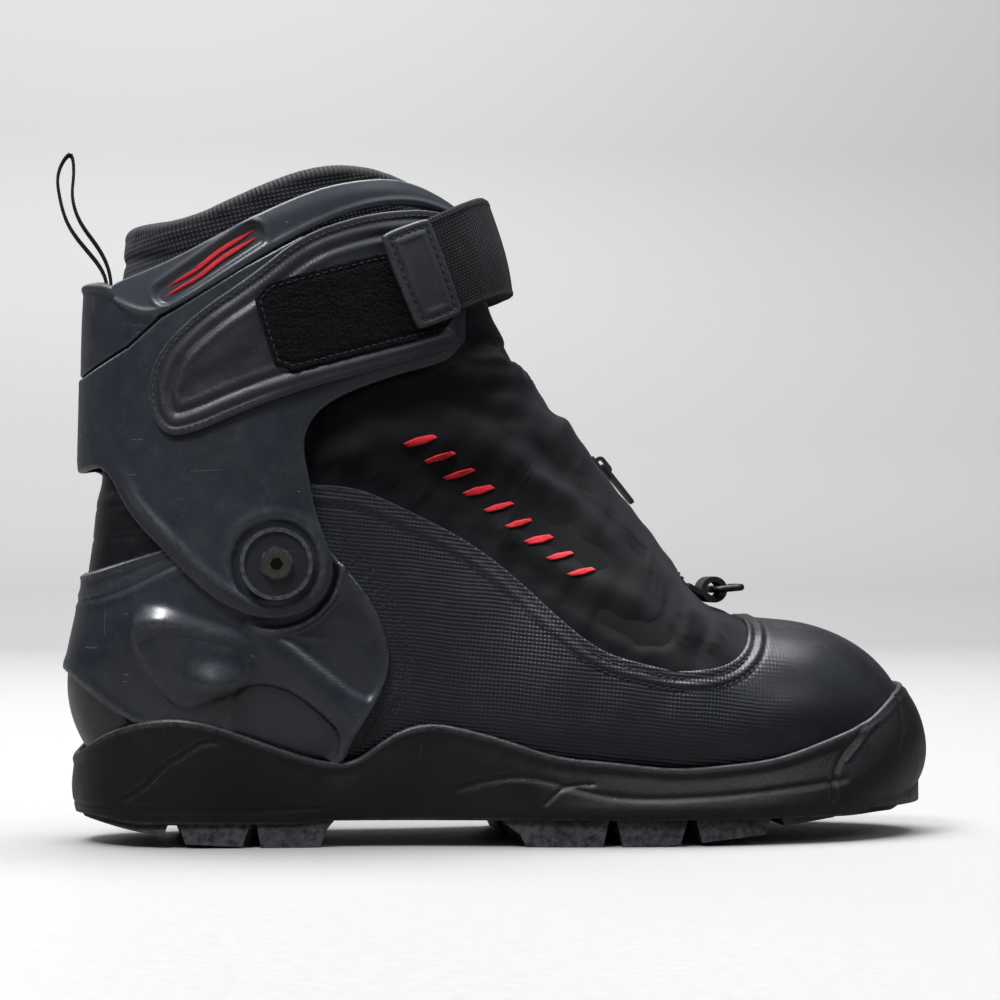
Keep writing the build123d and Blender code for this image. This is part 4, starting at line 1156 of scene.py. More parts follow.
# sunk field at the lower rear
in_rear = area([
    (-73, 58), (-66, 56), (-60.8, 52.4), (-54.4, 46.9), (-48.8, 42.7), (-43.9, 39.9),
    (-38, 38.5), (-38, 20), (-80, 20), (-80, 58)])
rear_crease = curve([(-69, 60), (-64, 57.5), (-60.8, 53.6), (-54.4, 48.1), (-48.8, 43.9),
                     (-43.9, 41.1), (-39, 39.8)])
top_crease = curve([(-68, 78), (-62.9, 78.4), (-50.9, 81.2), (-38.2, 86.9), (-28, 92)])
pad_arc = curve([(-41, 66), (-38.2, 68.6), (-28.4, 68.6), (-18.5, 66.4), (-8.6, 62.6),
                 (-4.4, 57)])
pad_crease = curve([(-42.5, 75.5), (-44.9, 72.1), (-45.3, 66.4), (-43.9, 62.2), (-41, 55.9),
                    (-36.8, 50.2), (-31.9, 45.3)])
# thin arcs on the pad: radius and start angle
swirls = [curve([(-17.8 + radius * math.cos(math.radians(a)) * 1.25,
                  57.0 + radius * math.sin(math.radians(a)))
                 for a in range(start, start + 190, 12)], 40)
          for radius, start in ((6.0, 60), (9.0, 50), (12.0, 62))]
thin_edge = curve([(3, 67.6), (10, 67.2), (16.9, 66.2)], 20)


def counter_relief(pos, dist, *_):
    x, z = pos[..., 0], pos[..., 2]
    pad, rear = in_pad(pos), in_rear(pos)
    rise = 1.5 * step(-pad - 1.2, 2.2)
    rise += 1.5 * bell(np.hypot((x + 36.1) / 7.5, (z - 72.6) / 3.4), 1.0)
    rise += 3.0 * bell(np.hypot((x + 17.8 + 0.30 * (z - 54)) / 9.0, (z - 53.6) / 5.2), 1.0)
    rise -= 0.55 * bell(pad_arc(pos), 1.1) * step(-pad - 0.5, 1.0)
    for swirl in swirls:
        rise += 0.13 * bell(swirl(pos), 0.7)
    # strip from the pad to the front corner
    strip = (x + 6.0) * 0.66 + (z - 67.0) * 0.75
    rise += 0.9 * bell(strip, 4.6) * step(x + 8, 8) * step(32 - x, 6)
    rise -= 1.7 * step(-in_half_round(pos) - 0.4, 1.2)
    rise += ridges(rear_crease(pos), (0.6, 1.4, 0.8)) - 1.9 * step(-rear - 0.2, 0.9)
    rise -= 1.0 * step(-in_wedge(pos) - 0.6, 1.5)
    rise += ridges(top_crease(pos), (0, 0.6, -0.55), (1.8, 1.0, 0.4))
    rise += ridges(pad_crease(pos), (0, 0.8, -0.5)) + ridges(thin_edge(pos), (0, 0.45, 0.35))
    # rib and recess around the pivot
    radius = np.hypot(x - PIVOT_X, z - PIVOT_Z)
    angle = np.degrees(np.arctan2(z - PIVOT_Z, x - PIVOT_X))
    low = step(angle + 100, 20) * (1 - step(angle - 8, 14))
    rise += ridges(radius, (21.3, 0.9, 1.4)) * low
    rise -= 0.8 * step(20.6 - radius, 0.7) * step(angle + 115, 15)
    rise += ridges(front_dist(pos), (1.4, 0.9, 0.6))
    return rise + ridges(-dist, (1.2, 0.8, 0.5)) * step(z - 70, 5)


counter = panel("counter_skin", foot, stations(7, 19),
                np.linspace(-1, 1, int(420 * DETAIL) | 1), area(COUNTER), (0.6, 2.7),
                edge=0.9, relief=counter_relief, wrap=True)
dress(counter, "counter", "counter_plastic", "lower_boot", "heel_counter")

# ---------------------------------------------------------------- rear quarter
QUARTER = [(14, 100), (14, 115.5), (0, 118), (-20, 120.5), (-75, 121.5), (-75, 76), (-30, 76),
           (0, 90)]
quarter_grooves = [line([(-60, 108), (-30, 112), (10, 112)]),
                   line([(-60, 98), (-30, 101), (10, 103)])]


def quarter_relief(pos, *_):
    grooves = sum(bell(groove(pos), 0.8) for groove in quarter_grooves)
    return -1.5 * step(pos[..., 2] - 113, 4) - 0.35 * grooves


quarter = panel("rear_quarter_skin", foot, stations(10, 19), FOOT_TURNS, area(QUARTER),
                (-1.9, 0.15), relief=quarter_relief, wrap=True)
dress(quarter, "quarter", "vamp_textile", "lower_boot", "rear_quarter")

# ---------------------------------------------------------------- foot liner
LINER = ([(232, 4), (232, 95), (160, 95), (159.5, 69.0)]
         + [(x, z - 1.5) for x, z in SEAM[-2::-1]]
         + [(-8, 113), (-30, 108), (-75, 103), (-75, 4)])
liner = panel("liner_skin", foot, stations(1, 19, every=2), FOOT_TURNS[::2], area(LINER),
              (-5.6, -2.7), wrap=True)
dress(liner, "mesh", "foam", "lower_boot", "foot_liner")

# ---------------------------------------------------------------- padded collar
in_collar = area(rounded([
    (-75, 128), (-30, 130), (0, 133), (30, 143), (50, 153), (55, 160), (56.5, 200),
    (55.5, 209.0), (46, 215.6), (29, 219.4), (11, 217.4), (-9, 209.6), (-29, 200.4),
    (-43, 199.8), (-75, 199.5)]))
quilt_line = curve([(-75, 188.5), (-43, 189), (-29, 189.5), (-9, 198.5), (11, 206),
                    (29, 208.5), (45, 207.0), (58, 201)], 60)
collar_rise = cloth_map(
    np.linspace(foot.knots[13], foot.end, 48), np.linspace(-1, 1, 92),
    lambda pos: np.maximum(in_collar(pos) + 0.5, 4.5 - quilt_line(pos)),
    off=-1.4, shrink=-0.03, pressure=4.0, lowest=-0.3, highest=1.9, bending=0.6)


def collar_relief(pos, _, run, turn):
    x, z = pos[..., 0], pos[..., 2]
    rise = 0.35 * np.sin(x * 0.13 + 0.7) * step(z - 190, 12)
    rise -= 0.7 * bell(quilt_line(pos), 1.4)
    rear_fold = step(-x - 33, 5) * step(z - 190, 3)
    return rise + collar_rise(run, turn) + 0.5 * rear_fold


collar = panel("collar_skin", foot, stations(13, 21), FOOT_TURNS, in_collar, (-8.6, -1.4),
               edge=3.2, relief=collar_relief, wrap=True, arc=7)
dress(collar, "mesh", "mesh", "cuff", "collar_padding")

# ---------------------------------------------------------------- ankle lining and tongue top
LINING = [(-75, 96), (-30, 101), (-8, 106), (12, 112), (34, 124), (52, 152), (30, 147),
          (0, 137), (-30, 134), (-75, 132)]
lining = panel("ankle_lining_skin", foot, stations(7, 21, every=2), FOOT_TURNS[::2],
               area(rounded(LINING, 1)), (-5.0, -3.9), edge=0.5, wrap=True,
               relief=lambda pos, *_: (0.3 * np.cos(pos[..., 0] * 0.35)
                                       * np.cos(pos[..., 2] * 0.37)))
dress(lining, "mesh", "mesh")
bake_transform(lining)

TONGUE = [(53.5, 155), (77, 167), (95, 169), (95, 208.0), (70, 209.0), (58.5, 210.5),
          (53.5, 211.0)]
TONGUE_RIB_PITCH = 26.0
tongue = panel("tongue_top_skin", foot, stations(11, 21), FOOT_TURNS, area(rounded(TONGUE)),
               (-8.0, -1.7), edge=2.4, arc=6, relief=lambda pos, *_: (
                   0.6 * np.cos(pos[..., 1] * 2 * math.pi / TONGUE_RIB_PITCH) - 0.2))
dress(tongue, "mesh", "mesh", "cuff", "tongue_top")

# ---------------------------------------------------------------- cuff shell and spine
cuff_low = smooth_line(CUFF_LOW, 160)
CUFF_AREA = np.concatenate([
    [(-75, 120.2)], cuff_low, [(64, 176), (60.5, 194), (54.5, 203.3)],
    np.array(RIM_LOW[::-1]), [(-75, 150.6)]])
rear_edge, front_edge = line(cuff_low[:70]), line(cuff_low[70:])


def cuff_relief(pos, *_):
    x, z = pos[..., 0], pos[..., 2]
    radius = np.hypot(x - PIVOT_X, z - PIVOT_Z)
    rise = ridges(radius, (15.8, 1.8, 0.35)) - 1.1 * step(13.8 - radius, 0.45)
    from_rear, from_front = rear_edge(pos), front_edge(pos)
    low = step(118 - z, 10)
    rise -= 1.15 * (1 - step(from_rear - 3.2, 2.4)) * low * step(-x + 6, 10)
    rise += ridges(from_rear, (5.2, 1.4, 0.65)) * low * step(-x + 4, 10)
    rise -= 0.7 * (1 - step(from_front - 2.4, 2.0)) * step(x - 8, 4)
    return rise + 0.5 * bell(np.hypot((x + 4) / 22.0, (z - 104) / 15.0), 0.75)


cuff = panel("cuff_skin", shaft, even(66, 214, 230), SHAFT_TURNS, area(CUFF_AREA),
             (-2.5, 0.0), edge=1.15, relief=cuff_relief, wrap=True, arc=5)
dress(cuff, "cuff", "cuff_plastic", "cuff", "cuff_shell")

SPINE_TOP = [(-75, 181.5), (-55.6, 181.5), (-49.6, 178.5), (-43.7, 173.0), (-37.2, 171.2)]
SPINE = [(-75, 151.2)] + [(x, z + 0.5) for x, z in RIM_LOW[:4]] + SPINE_TOP[::-1]
spine_top = curve(SPINE_TOP, 40)
spine = panel("spine_skin", shaft, even(148, 184, 74), SHAFT_TURNS, area(SPINE),
              (-2.8, -0.5), wrap=True,
              relief=lambda pos, *_: ridges(spine_top(pos), (1.6, 1.3, 0.75)))
dress(spine, "cuff", "cuff_plastic", "cuff", "cuff_spine")

# ---------------------------------------------------------------- rim band with an oval recess
badge_start, badge_end = np.array([-34.6, 176.2]), np.array([-6.6, 195.0])
badge_length = np.linalg.norm(badge_end - badge_start)
badge_dir = (badge_end - badge_start) / badge_length
badge_up = np.array([-badge_dir[1], badge_dir[0]])


def badge_cap(centre, reach, height, angles):
    return [centre + badge_dir * (reach * math.cos(a)) + badge_up * (height * math.sin(a))
            for a in angles]


cap_angles = np.linspace(-math.pi / 2, math.pi / 2, 12)
in_badge = area(badge_cap(badge_start, -3.6, 3.7, cap_angles)
                + badge_cap(badge_end, 3.2, 4.0, cap_angles[::-1]))
RIM = [(-52.5, 179.6), (-51.5, 175.6), (-48.0, 172.0), (-43.6, 169.8), (-38.7, 169.0),
       (-33.4, 170.5), (-16.2, 180.6), (-3.7, 188.5), (11.2, 196.7), (23.0, 202.0),
       (34.7, 205.2), (46.5, 205.8), (55.0, 204.3), (60.0, 202.6), (62.2, 203.6),
       (61.5, 206.0), (57.8, 208.0), (53.5, 210.0), (46.5, 212.6), (37.0, 214.2),
       (23.0, 212.2), (11.2, 208.9), (-3.7, 202.3), (-16.2, 196.0), (-31.8, 187.8),
       (-41.2, 183.9), (-48.5, 181.4)]
rim_middle = curve([(-8, 197), (4, 201.5), (18, 206.5), (30, 209.5), (42, 210), (54, 207.0),
                    (60, 204.5)], 60)
rim_low = curve([(-50, 175), (-43.6, 171.6), (-38.7, 170.8), (-33.4, 172.3), (-16.2, 182.2),
                 (-3.7, 190.1), (11.2, 198.2), (23.0, 203.4), (34.7, 206.6), (46.5, 207.2),
                 (58, 204.6)], 90)


def rim_relief(pos, *_):
    badge = in_badge(pos)
    recess = step(-badge - 0.2, 0.5)
    rise = (ridges(rim_middle(pos), (0, 4.0, 0.8)) + ridges(rim_low(pos), (0, 0.8, 0.55))
            + ridges(badge, (0.6, 0.7, 0.35)))
    return rise * (1 - recess) - 1.1 * recess


rim = panel("rim_skin", shaft, even(166, 217, 130), SHAFT_TURNS, area(rounded(RIM, 1)),
            (-2.2, 0.15), edge=0.9, relief=rim_relief, wrap=True)
dress(rim, "rim", "trim_plastic", "cuff", "collar_band")

# ---------------------------------------------------------------- stitched flaps
FLAP = rounded([
    (-40.6, 147.1), (-40.4, 142.0), (-38.7, 135.6), (-33.9, 130.3), (-25.2, 131.8),
    (-8.0, 139.4), (11.2, 146.2), (32.3, 151.9), (57.3, 159.6), (62.0, 161.2), (63.2, 165.0),
    (61.0, 199.0), (58.5, 203.6), (53.0, 204.4), (44.0, 204.3), (26.8, 201.4), (7.6, 194.5),
    (-8.0, 181.7), (-25.2, 170.1), (-36.8, 158.6)])
low_roll = curve([(-6, 143.5), (12, 149.5), (32, 155.4), (56, 162.6)], 40)
in_facet = area([(-30, 146), (-6, 158), (-4, 176), (-16, 170), (-30, 157)])


def flap_relief(pos, dist, *_):
    x = pos[..., 0]
    rise = ridges(dist, (-3.0, 0.55, -0.42), (-4.8, 0.9, 0.25), (-7.4, 0.9, -0.55),
                  (-9.4, 1.2, 0.3))
    rise += 0.7 * step(-in_facet(pos) - 1.0, 2.5)
    return rise + 1.0 * bell(low_roll(pos), 2.2) * step(x - 4, 16) * step(60 - x, 2)


for name, side in (("lateral_flap", LATERAL), ("medial_flap", MEDIAL)):
    flap = panel(name + "_skin", shaft, even(126, 208, 160),
                 SHAFT_TURNS[SHAFT_TURNS * side > -0.02], area(FLAP), (0.1, 1.8), edge=0.75,
                 relief=flap_relief, half=(side, 1.0))
    dress(flap, "flap", "flap_textile", "cuff", name)

# ---------------------------------------------------------------- pile patch and strap anchor


def fuzz(pos, height):
    x, z = pos[..., 0], pos[..., 2]
    return height * (np.sin(x * 2.1 + 3 * np.sin(z * 1.3))
                     * np.sin(z * 1.9 + 2 * np.sin(x * 1.1)))


PATCH = rounded([(-8.1, 177.6), (12, 183.4), (32.1, 189.1), (54.0, 194.0), (56, 180),
                 (58.5, 165.5), (40, 160.5), (20, 155), (0.5, 149.9), (-4, 163)], 1)
patch = panel(
    "loop_patch_skin", shaft, even(146, 198, 120), SHAFT_TURNS[SHAFT_TURNS < 0.05],
    area(PATCH), (1.9, 2.9), edge=0.5, half=(LATERAL, 5.0),
    relief=lambda pos, dist, *_: fuzz(pos, 0.22) + ridges(dist, (-2.2, 0.6, -0.4)))
dress(patch, "pile", "loop_pile", "cuff", "loop_patch")

ANCHOR = rounded([(8, 182), (34, 192), (46, 196), (54, 170), (42, 165), (16, 155)])
anchor = panel(
    "strap_anchor_skin", shaft, even(150, 200, 100), SHAFT_TURNS[SHAFT_TURNS > -0.05],
    area(ANCHOR), (1.9, 3.3), half=(MEDIAL, 5.0),
    relief=lambda _, dist, *__: ridges(dist, (-2.4, 0.5, -0.35), (-4, 0.8, 0.2)))
dress(anchor, "tab", "tab_rubber", "cuff", "strap_anchor")

# ---------------------------------------------------------------- strap, its tab and hook pad
in_medial_strap = area([(33, 192.8), (62.6, 207.2), (70, 211.0), (100, 212.0), (100, 179.0),
                        (82, 179.6), (72, 176.4), (44, 165.2)])
in_lateral_strap = area([(34.8, 193.9), (48.8, 200.6), (62.3, 207.4), (70, 211.0),
                         (100, 212.0), (100, 179.0), (82, 179.6), (74.5, 177.4),
                         (60.6, 171.6), (46.2, 166.4)])


def strap_relief(pos, dist, *_):
    """A raised selvedge and a slight ripple across the front."""
    return ridges(dist, (-1.2, 0.7, 0.25)) + 0.10 * np.sin(pos[..., 1] * 0.5)


strap = panel(
    "strap_webbing_skin", shaft, even(160, 214, 170), even(-2.3, 1.6, 420),
    lambda pos: np.where(pos[..., 1] > 0, in_medial_strap(pos), in_lateral_strap(pos)),
    (4.4, 6.1), edge=0.6, relief=strap_relief)
dress(strap, "web", "webbing", None, "strap_webbing", "strap_end")
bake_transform(strap)

TAB = rounded([(33.2, 193.0), (34.4, 195.2), (48.4, 200.9), (50.0, 200.2), (60.6, 172.2),
               (59.6, 170.2), (46.6, 164.9), (44.8, 165.8)])
tab = panel("strap_tab_skin", shaft, even(162, 204, 140), even(-2.2, -0.5, 170), area(TAB),
            (6.2, 8.0), half=(LATERAL, 5.0), relief=lambda _, dist, *__: (
                ridges(dist, (-2.4, 0.5, -0.40), (-4.2, 1.0, 0.25))))
dress(tab, "tab", "tab_rubber", "strap_end", "strap_tab")

HOOK = [(36.2, 192.9), (53.0, 199.6), (63.6, 173.6), (46.4, 168.0)]
hook = panel("hook_pad_skin", shaft, even(164, 203, 90), even(-2.2, -0.4, 120),
             area(rounded(HOOK, 1)), (3.2, 4.3), edge=0.4, half=(LATERAL, 5.0),
             relief=lambda pos, *_: fuzz(pos, 0.1))
dress(hook, "pile", "loop_pile", "strap_end", "hook_pad")

# ---------------------------------------------------------------- sole side wall
# plan outline (x, y), from the heel along the lateral side to the toe and back
SOLE_PLAN = [
    (-62.5, 0), (-58, -17), (-50, -26), (-35, -33.5), (-15, -36.5), (10, -37.5), (40, -39),
    (70, -44.5), (100, -50), (130, -52.2), (150, -51.5), (170, -48), (190, -41), (205, -32),
    (216, -20), (224, -6), (226.5, 7), (224, 19), (216, 31), (205, 39), (190, 45), (170, 49),
    (150, 49.5), (130, 48.2), (100, 44), (70, 38), (40, 34.5), (10, 34.5), (-15, 35),
    (-35, 32.5), (-50, 26), (-58, 17)]
GROOVES = [  # polyline, width, height
    ([(-18, 34), (-23, 33.5), (-28, 30.4), (-34.7, 26.2), (-41, 19.6), (-46.7, 15.9)],
     0.5, -0.62),
    ([(208, 50.5), (202, 46.0), (196, 39.5), (188, 30.6), (183.5, 25.0), (181.5, 19),
      (181.5, 14)], 0.8, -0.55),
    ([(199, 38.5), (192.5, 31.8), (187, 26.4)], 0.6, 0.35),
    ([(209, 49), (210.5, 41), (209, 33), (205, 26)], 0.9, -0.30),
    ([(58, 18.5), (78, 22.5), (100, 17.5), (130, 15.5), (160, 17.5), (186, 20.5)],
     1.1, -0.55),
    ([(86, 14), (92, 19), (101, 20)], 0.7, -0.5),
    ([(-64, 13.2), (-40, 12.2), (-8, 12.0), (16, 12.6)], 0.5, -0.35)]
PLAN_COUNT = int(900 * DETAIL)
WALL_ROWS = int(44 * DETAIL)
LIP_RADIUS = 1.05


def closed_spline(points, count):
    """Closed curve through the points, resampled evenly."""
    points = np.array(points, float)
    wrapped = np.concatenate([points[-6:], points, points[:7]])
    knots = running_length(wrapped)
    places = np.linspace(knots[6], knots[6 + len(points)], 4000)
    dense = spline(knots, wrapped)(places)
    length = running_length(dense)
    return rows_at(np.linspace(0, length[-1], count + 1)[:-1], length, dense)


def ring_smooth(values, rounds):
    for _ in range(rounds):
        values = (np.roll(values, 1) + 2 * values + np.roll(values, -1)) / 4
    return values


plan = closed_spline(SOLE_PLAN, PLAN_COUNT)
plan_tangent = np.roll(plan, -1, axis=0) - np.roll(plan, 1, axis=0)
plan_tangent /= np.linalg.norm(plan_tangent, axis=1)[:, None]
plan_normal = np.stack([plan_tangent[:, 1], -plan_tangent[:, 0]], -1)
wave_line = smooth_line(SOLE_WAVE, 300)


def wave_z(x):
    return np.interp(x, wave_line[:, 0], wave_line[:, 1])


def plan_moved(shift):
    return plan + plan_normal * shift[:, None]


def reach_foot(z):
    """Shift of the plan outline that meets the foot at height z, by bisection."""
    low, high = np.full(PLAN_COUNT, -24.0), np.full(PLAN_COUNT, 16.0)
    for _ in range(26):
        middle = (low + high) / 2
        spots = plan_moved(middle)
        out = foot.outside(spots[:, 0], spots[:, 1], z) > 0
        high, low = np.where(out, middle, high), np.where(out, low, middle)
    return (low + high) / 2


def sole_rows():
    """Rings of the wall from the bottom up, over the lip and down the inside."""
    x = plan[:, 0]
    top_z = wave_z(x)
    for _ in range(2):
        top_shift = ring_smooth(reach_foot(top_z), 10)
        top_z = wave_z(plan_moved(top_shift + 2.0)[:, 0])
    top_z = ring_smooth(top_z, 4)
    top_reach = top_shift + (2.6 + 1.0 * step(20 - x, 20))
    bottom_z = (8.6 + 3.4 * step(x - 219, 7) + 1.4 * step(-x - 54, 6)
                - 1.2 * step(12 - x, 6) * step(x + 48, 6))
    nose = step(x - 196, 12)
    grooves = [(curve(points, 30), width, height) for points, width, height in GROOVES]
    rows = []

    def add_row(flat, z):
        rows.append(np.stack([flat[:, 0], flat[:, 1], z], -1))

    for part in np.linspace(0, 1, WALL_ROWS):
        z = bottom_z + (top_z - 1.0 - bottom_z) * part
        smooth_part = part * part * (3 - 2 * part)
        upper = min(max((part - 0.12) / 0.88, 0.0), 1.0)
        convex = 1 - math.sqrt(max(1 - (0.97 * upper) ** 2, 0.0))
        shift = -0.7 * (1 - part) ** 3 - 6.5 * nose * (1 - part) ** 5
        shift += top_reach * (smooth_part ** 1.2 * (1 - nose) + convex / 0.757 * nose)
        shift += 0.9 * math.sin(math.pi * part)
        flat = plan_moved(shift)
        pos = np.stack([flat[:, 0], flat[:, 1], z], -1)
        relief = sum(height * bell(field(pos), width) for field, width, height in grooves)
        # the foot of the wall swells over the forefoot, and the top has a lip
        relief += 1.1 * bell(z - 11, 3.4) * bell((x - 122) / 46.0, 1.0)
        relief += 0.75 * bell(z - (top_z - 1.6), 1.5)
        add_row(flat + plan_normal * relief[:, None], z)
    edge = rows[-1]
    for degrees in range(30, 181, 30):
        angle = math.radians(degrees)
        add_row(edge[:, :2] - plan_normal * (LIP_RADIUS * (1 - math.cos(angle))),
                edge[:, 2] + LIP_RADIUS * math.sin(angle))
    add_row(plan_moved(np.minimum(top_shift - 0.4, 20)), top_z - 2.2)
    inner = plan_moved(np.minimum(top_shift, 0) - 5.0)
    add_row(inner, np.minimum(top_z - 6, 17.0))
    add_row(inner, bottom_z + 1.5)
    return np.array(rows)


wall = sole_rows()
sole = new_mesh("rand_skin", wall.reshape(-1, 3),
                tube_faces(len(wall), PLAN_COUNT, closed=True))
face_outwards(sole)
dress(sole, "rand", "rubber_rand", "lower_boot", "midsole_rand")

# ---------------------------------------------------------------- sole floor with its recess
RECESS_X, RECESS_HALF_X, RECESS_HALF_Y, RECESS_DEPTH = 203.0, 7.5, 13.0, 8.0


def floor_relief(pos, *_):
    recess = np.maximum(np.abs(pos[..., 0] - RECESS_X) - RECESS_HALF_X,
                        np.abs(pos[..., 1]) - RECESS_HALF_Y)
    return -step(-recess, 0.7) * RECESS_DEPTH


sole_floor = panel(
    "sole_floor", Underside(), even(-62, 226, 260), even(-53, 51, 100),
    lambda pos: signed_dist(pos[..., 0], pos[..., 1], plan[::6]) + 3.0,
    (0.0, 9.6), edge=0.6, relief=floor_relief)
dress(sole_floor, "rand", "rubber_rand", "lower_boot")

# bevelled cleats on the CAD tread
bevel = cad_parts["outsole"].modifiers.new("bevel", "BEVEL")
bevel.width = 0.0007
bevel.segments = 2
bevel.limit_method = "ANGLE"
bevel.angle_limit = math.radians(35)

# ---------------------------------------------------------------- stitches
STITCH_LIFT = 0.05
STITCH_SAG = -0.22
# place along half a stitch, share of the thread radius
STITCH_PROFILE = [(-1.0, 0.0), (-0.92, 0.62), (-0.6, 1.0), (0.6, 1.0), (0.92, 0.62),
                  (1.0, 0.0)]
STITCH_SIDES = 6


def on_side(surface, poly, side, off):
    """Points of a side-view line on a surface, and their outward normals."""
    x, z = poly[:, 0], poly[:, 1]
    probe = 0.4
    along_x = surface.side(x + probe, z, side, off) - surface.side(x - probe, z, side, off)
    along_z = surface.side(x, z + probe, side, off) - surface.side(x, z - probe, side, off)
    normal = np.cross(along_x, along_z)
    normal /= np.linalg.norm(normal, axis=1)[:, None] + 1e-9
    normal *= np.sign(normal[:, 1] * side)[:, None] + (normal[:, 1] == 0)[:, None]
    return surface.side(x, z, side, off), normal


def stitch_row(label, surface, poly, off, mat, body, spacing=2.5, length=1.9, radius=0.26,
               sides=(LATERAL, MEDIAL), tilt=0.0):
    """Rows of thread stitches along a side-view line, one object for each side."""
    for side in sides:
        path, normals = on_side(surface, poly, side, off)
        running = running_length(path)
        count = int(running[-1] // spacing)
        points, faces = [], []
        for k in range(count):
            middle = (k + 0.5) * running[-1] / count
            centre = rows_at(middle, running, path)
            normal = rows_at(middle, running, normals)
            normal /= np.linalg.norm(normal) + 1e-12
            forward = (rows_at(middle + length / 2, running, path)
                       - rows_at(middle - length / 2, running, path))
            forward /= np.linalg.norm(forward) + 1e-12
            across = np.cross(normal, forward)
            if tilt:
                forward = forward * math.cos(tilt) + across * math.sin(tilt)
                across = np.cross(normal, forward)
            faces += tube_faces(len(STITCH_PROFILE), STITCH_SIDES, first=len(points))
            for place, share in STITCH_PROFILE:
                lift = STITCH_LIFT + STITCH_SAG * place * place
                ring = centre + forward * place * length / 2 + normal * lift
                for j in range(STITCH_SIDES):
                    angle = j * 2 * math.pi / STITCH_SIDES
                    spoke = across * math.cos(angle) + normal * math.sin(angle)
                    points.append(ring + spoke * radius * max(share, 0.02))
        suffix = "lat" if side < 0 else "med"
        row = new_mesh(label + "_" + suffix, np.array(points), faces)
        dress(row, mat, None, body)


def shifted(poly, dist):
    """Open polyline moved to its right."""
    tangent = np.gradient(poly, axis=0)
    tangent /= np.linalg.norm(tangent, axis=1)[:, None] + 1e-9
    return poly + np.stack([tangent[:, 1], -tangent[:, 0]], -1) * dist


def inset(poly, dist):
    """Closed outline moved inwards and resampled."""
    closed = np.concatenate([poly, poly[:1]])
    length = running_length(closed)
    points = rows_at(np.linspace(0, length[-1], 400), length, closed)[:-1]
    tangent = np.roll(points, -2, axis=0) - np.roll(points, 2, axis=0)
    tangent /= np.linalg.norm(tangent, axis=1)[:, None] + 1e-9
    normal = np.stack([tangent[:, 1], -tangent[:, 0]], -1)
    for sign in (1, -1):
        moved = points + normal * dist * sign
        gap, inside = poly_dist(moved[:, 0], moved[:, 1], poly, True)
        if inside.mean() > 0.5:
            moved = moved[gap > dist * 0.93]
            break
    return np.concatenate([moved, moved[:1]])


seam_path, front_path = seam[:-5], front[2:-8]
for label, path, tilt in (("stitch_seam_a", shifted(seam_path, 2.6)[2:], 0.0),
                          ("stitch_seam_b", shifted(seam_path, 6.4)[3:], 0.25),
                          ("stitch_counter_a", shifted(front_path, -3.0), 0.3),
                          ("stitch_counter_b", shifted(front_path, -6.2), -0.3)):
    stitch_row(label, foot, path, 0.40, "thread", "lower_boot", tilt=tilt)
flap_path = inset(FLAP, 2.0)
flap_path = flap_path[flap_path[:, 0] < 60.5]
stitch_row("stitch_flap", shaft, flap_path, 1.75, "grey_thread", "cuff", spacing=2.4,
           length=1.8, radius=0.22)
stitch_row("stitch_patch", shaft, inset(PATCH, 1.7), 2.75, "thread", "cuff", spacing=2.4,
           length=1.8, sides=(LATERAL,))
stitch_row("stitch_tab", shaft, inset(TAB, 2.3), 7.75, "thread", "strap_end", spacing=2.7,
           length=2.0, radius=0.34, sides=(LATERAL,))
stitch_row("stitch_anchor", shaft, inset(ANCHOR, 2.3), 3.05, "thread", "cuff", spacing=2.7,
           length=2.0, radius=0.32, sides=(MEDIAL,))

# ---------------------------------------------------------------- red marks


def raised_marks(name, surface, shapes, low, high, follow=None):
    """Thin domed side-view shapes on both sides of a surface, in one object."""
    # share of the outline, offset
    profile = [(0.0, high + 0.25), (0.55, high + 0.22), (0.82, high + 0.12),
               (0.96, high * 0.6 + low * 0.4), (1.0, low)]
    points, faces = [], []
    for side in (LATERAL, MEDIAL):
        for shape in shapes:
            centre = shape.mean(0)
            rings = []
            for share, off in profile:
                flat = centre + (shape - centre) * share if share else centre[None]
                if follow is None:
                    ring = surface.side(flat[:, 0], flat[:, 1], side, off)
                else:
                    ring = follow(flat, side, off)
                rings.append(len(points) + np.arange(len(ring)))
                points.extend(ring)
            count = len(shape)
            for k in range(count):
                j = (k + 1) % count
                faces.append((rings[0][0], rings[1][k], rings[1][j]))
                for here, there in zip(rings[1:], rings[2:]):
                    faces.append((here[k], there[k], there[j], here[j]))
            faces.append(tuple(rings[-1][::-1]))
    obj = new_mesh(name, np.array(points), faces)
    face_outwards(obj)
    return obj


def follow_cover(flat, side, off):
    """Side-view points on the lace cover with its folds."""
    x, z = flat[:, 0], flat[:, 1]
    run = foot.station(x, z)
    turns = np.linspace(0, 0.9, 160) * side
    candidates = foot.xyz(run[:, None], turns[None], 0.0)
    target = foot.side(x, z, side, off)[:, None]
    turn = turns[np.argmin(((candidates - target) ** 2).sum(-1), axis=1)]
    rise = cover_relief(foot.xyz(run, turn, 0.0), None, run, turn)
    return foot.side(x, z, side, off + rise)


def cover_shapes():
    """Nine slanting chevrons in a row down the lace cover."""
    start, end = np.array([47.0, 130.0]), np.array([100.0, 88.0])
    axis = (end - start) / np.linalg.norm(end - start)
    across = np.array([-axis[1], axis[0]])
    lean = 2.3
    shapes = []
    for k in range(9):
        centre = start + (end - start) * (k / 8.0)
        height = 4.6 - 0.1 * k
        width = 1.35 if k % 3 else 1.75
        corners = [centre - across * height - axis * (lean + width),
                   centre - across * height * 0.96 - axis * (lean - width * 0.2),
                   centre + axis * width,
                   centre + across * height + axis * (lean + width),
                   centre + across * height * 0.96 + axis * (lean - width * 0.2),
                   centre - axis * width]
        outline = [here + (there - here) * part
                   for here, there in zip(corners, corners[1:] + corners[:1])
                   for part in (0, 0.25, 0.5, 0.75)]
        shapes.append(rounded(outline, 1))
    return shapes


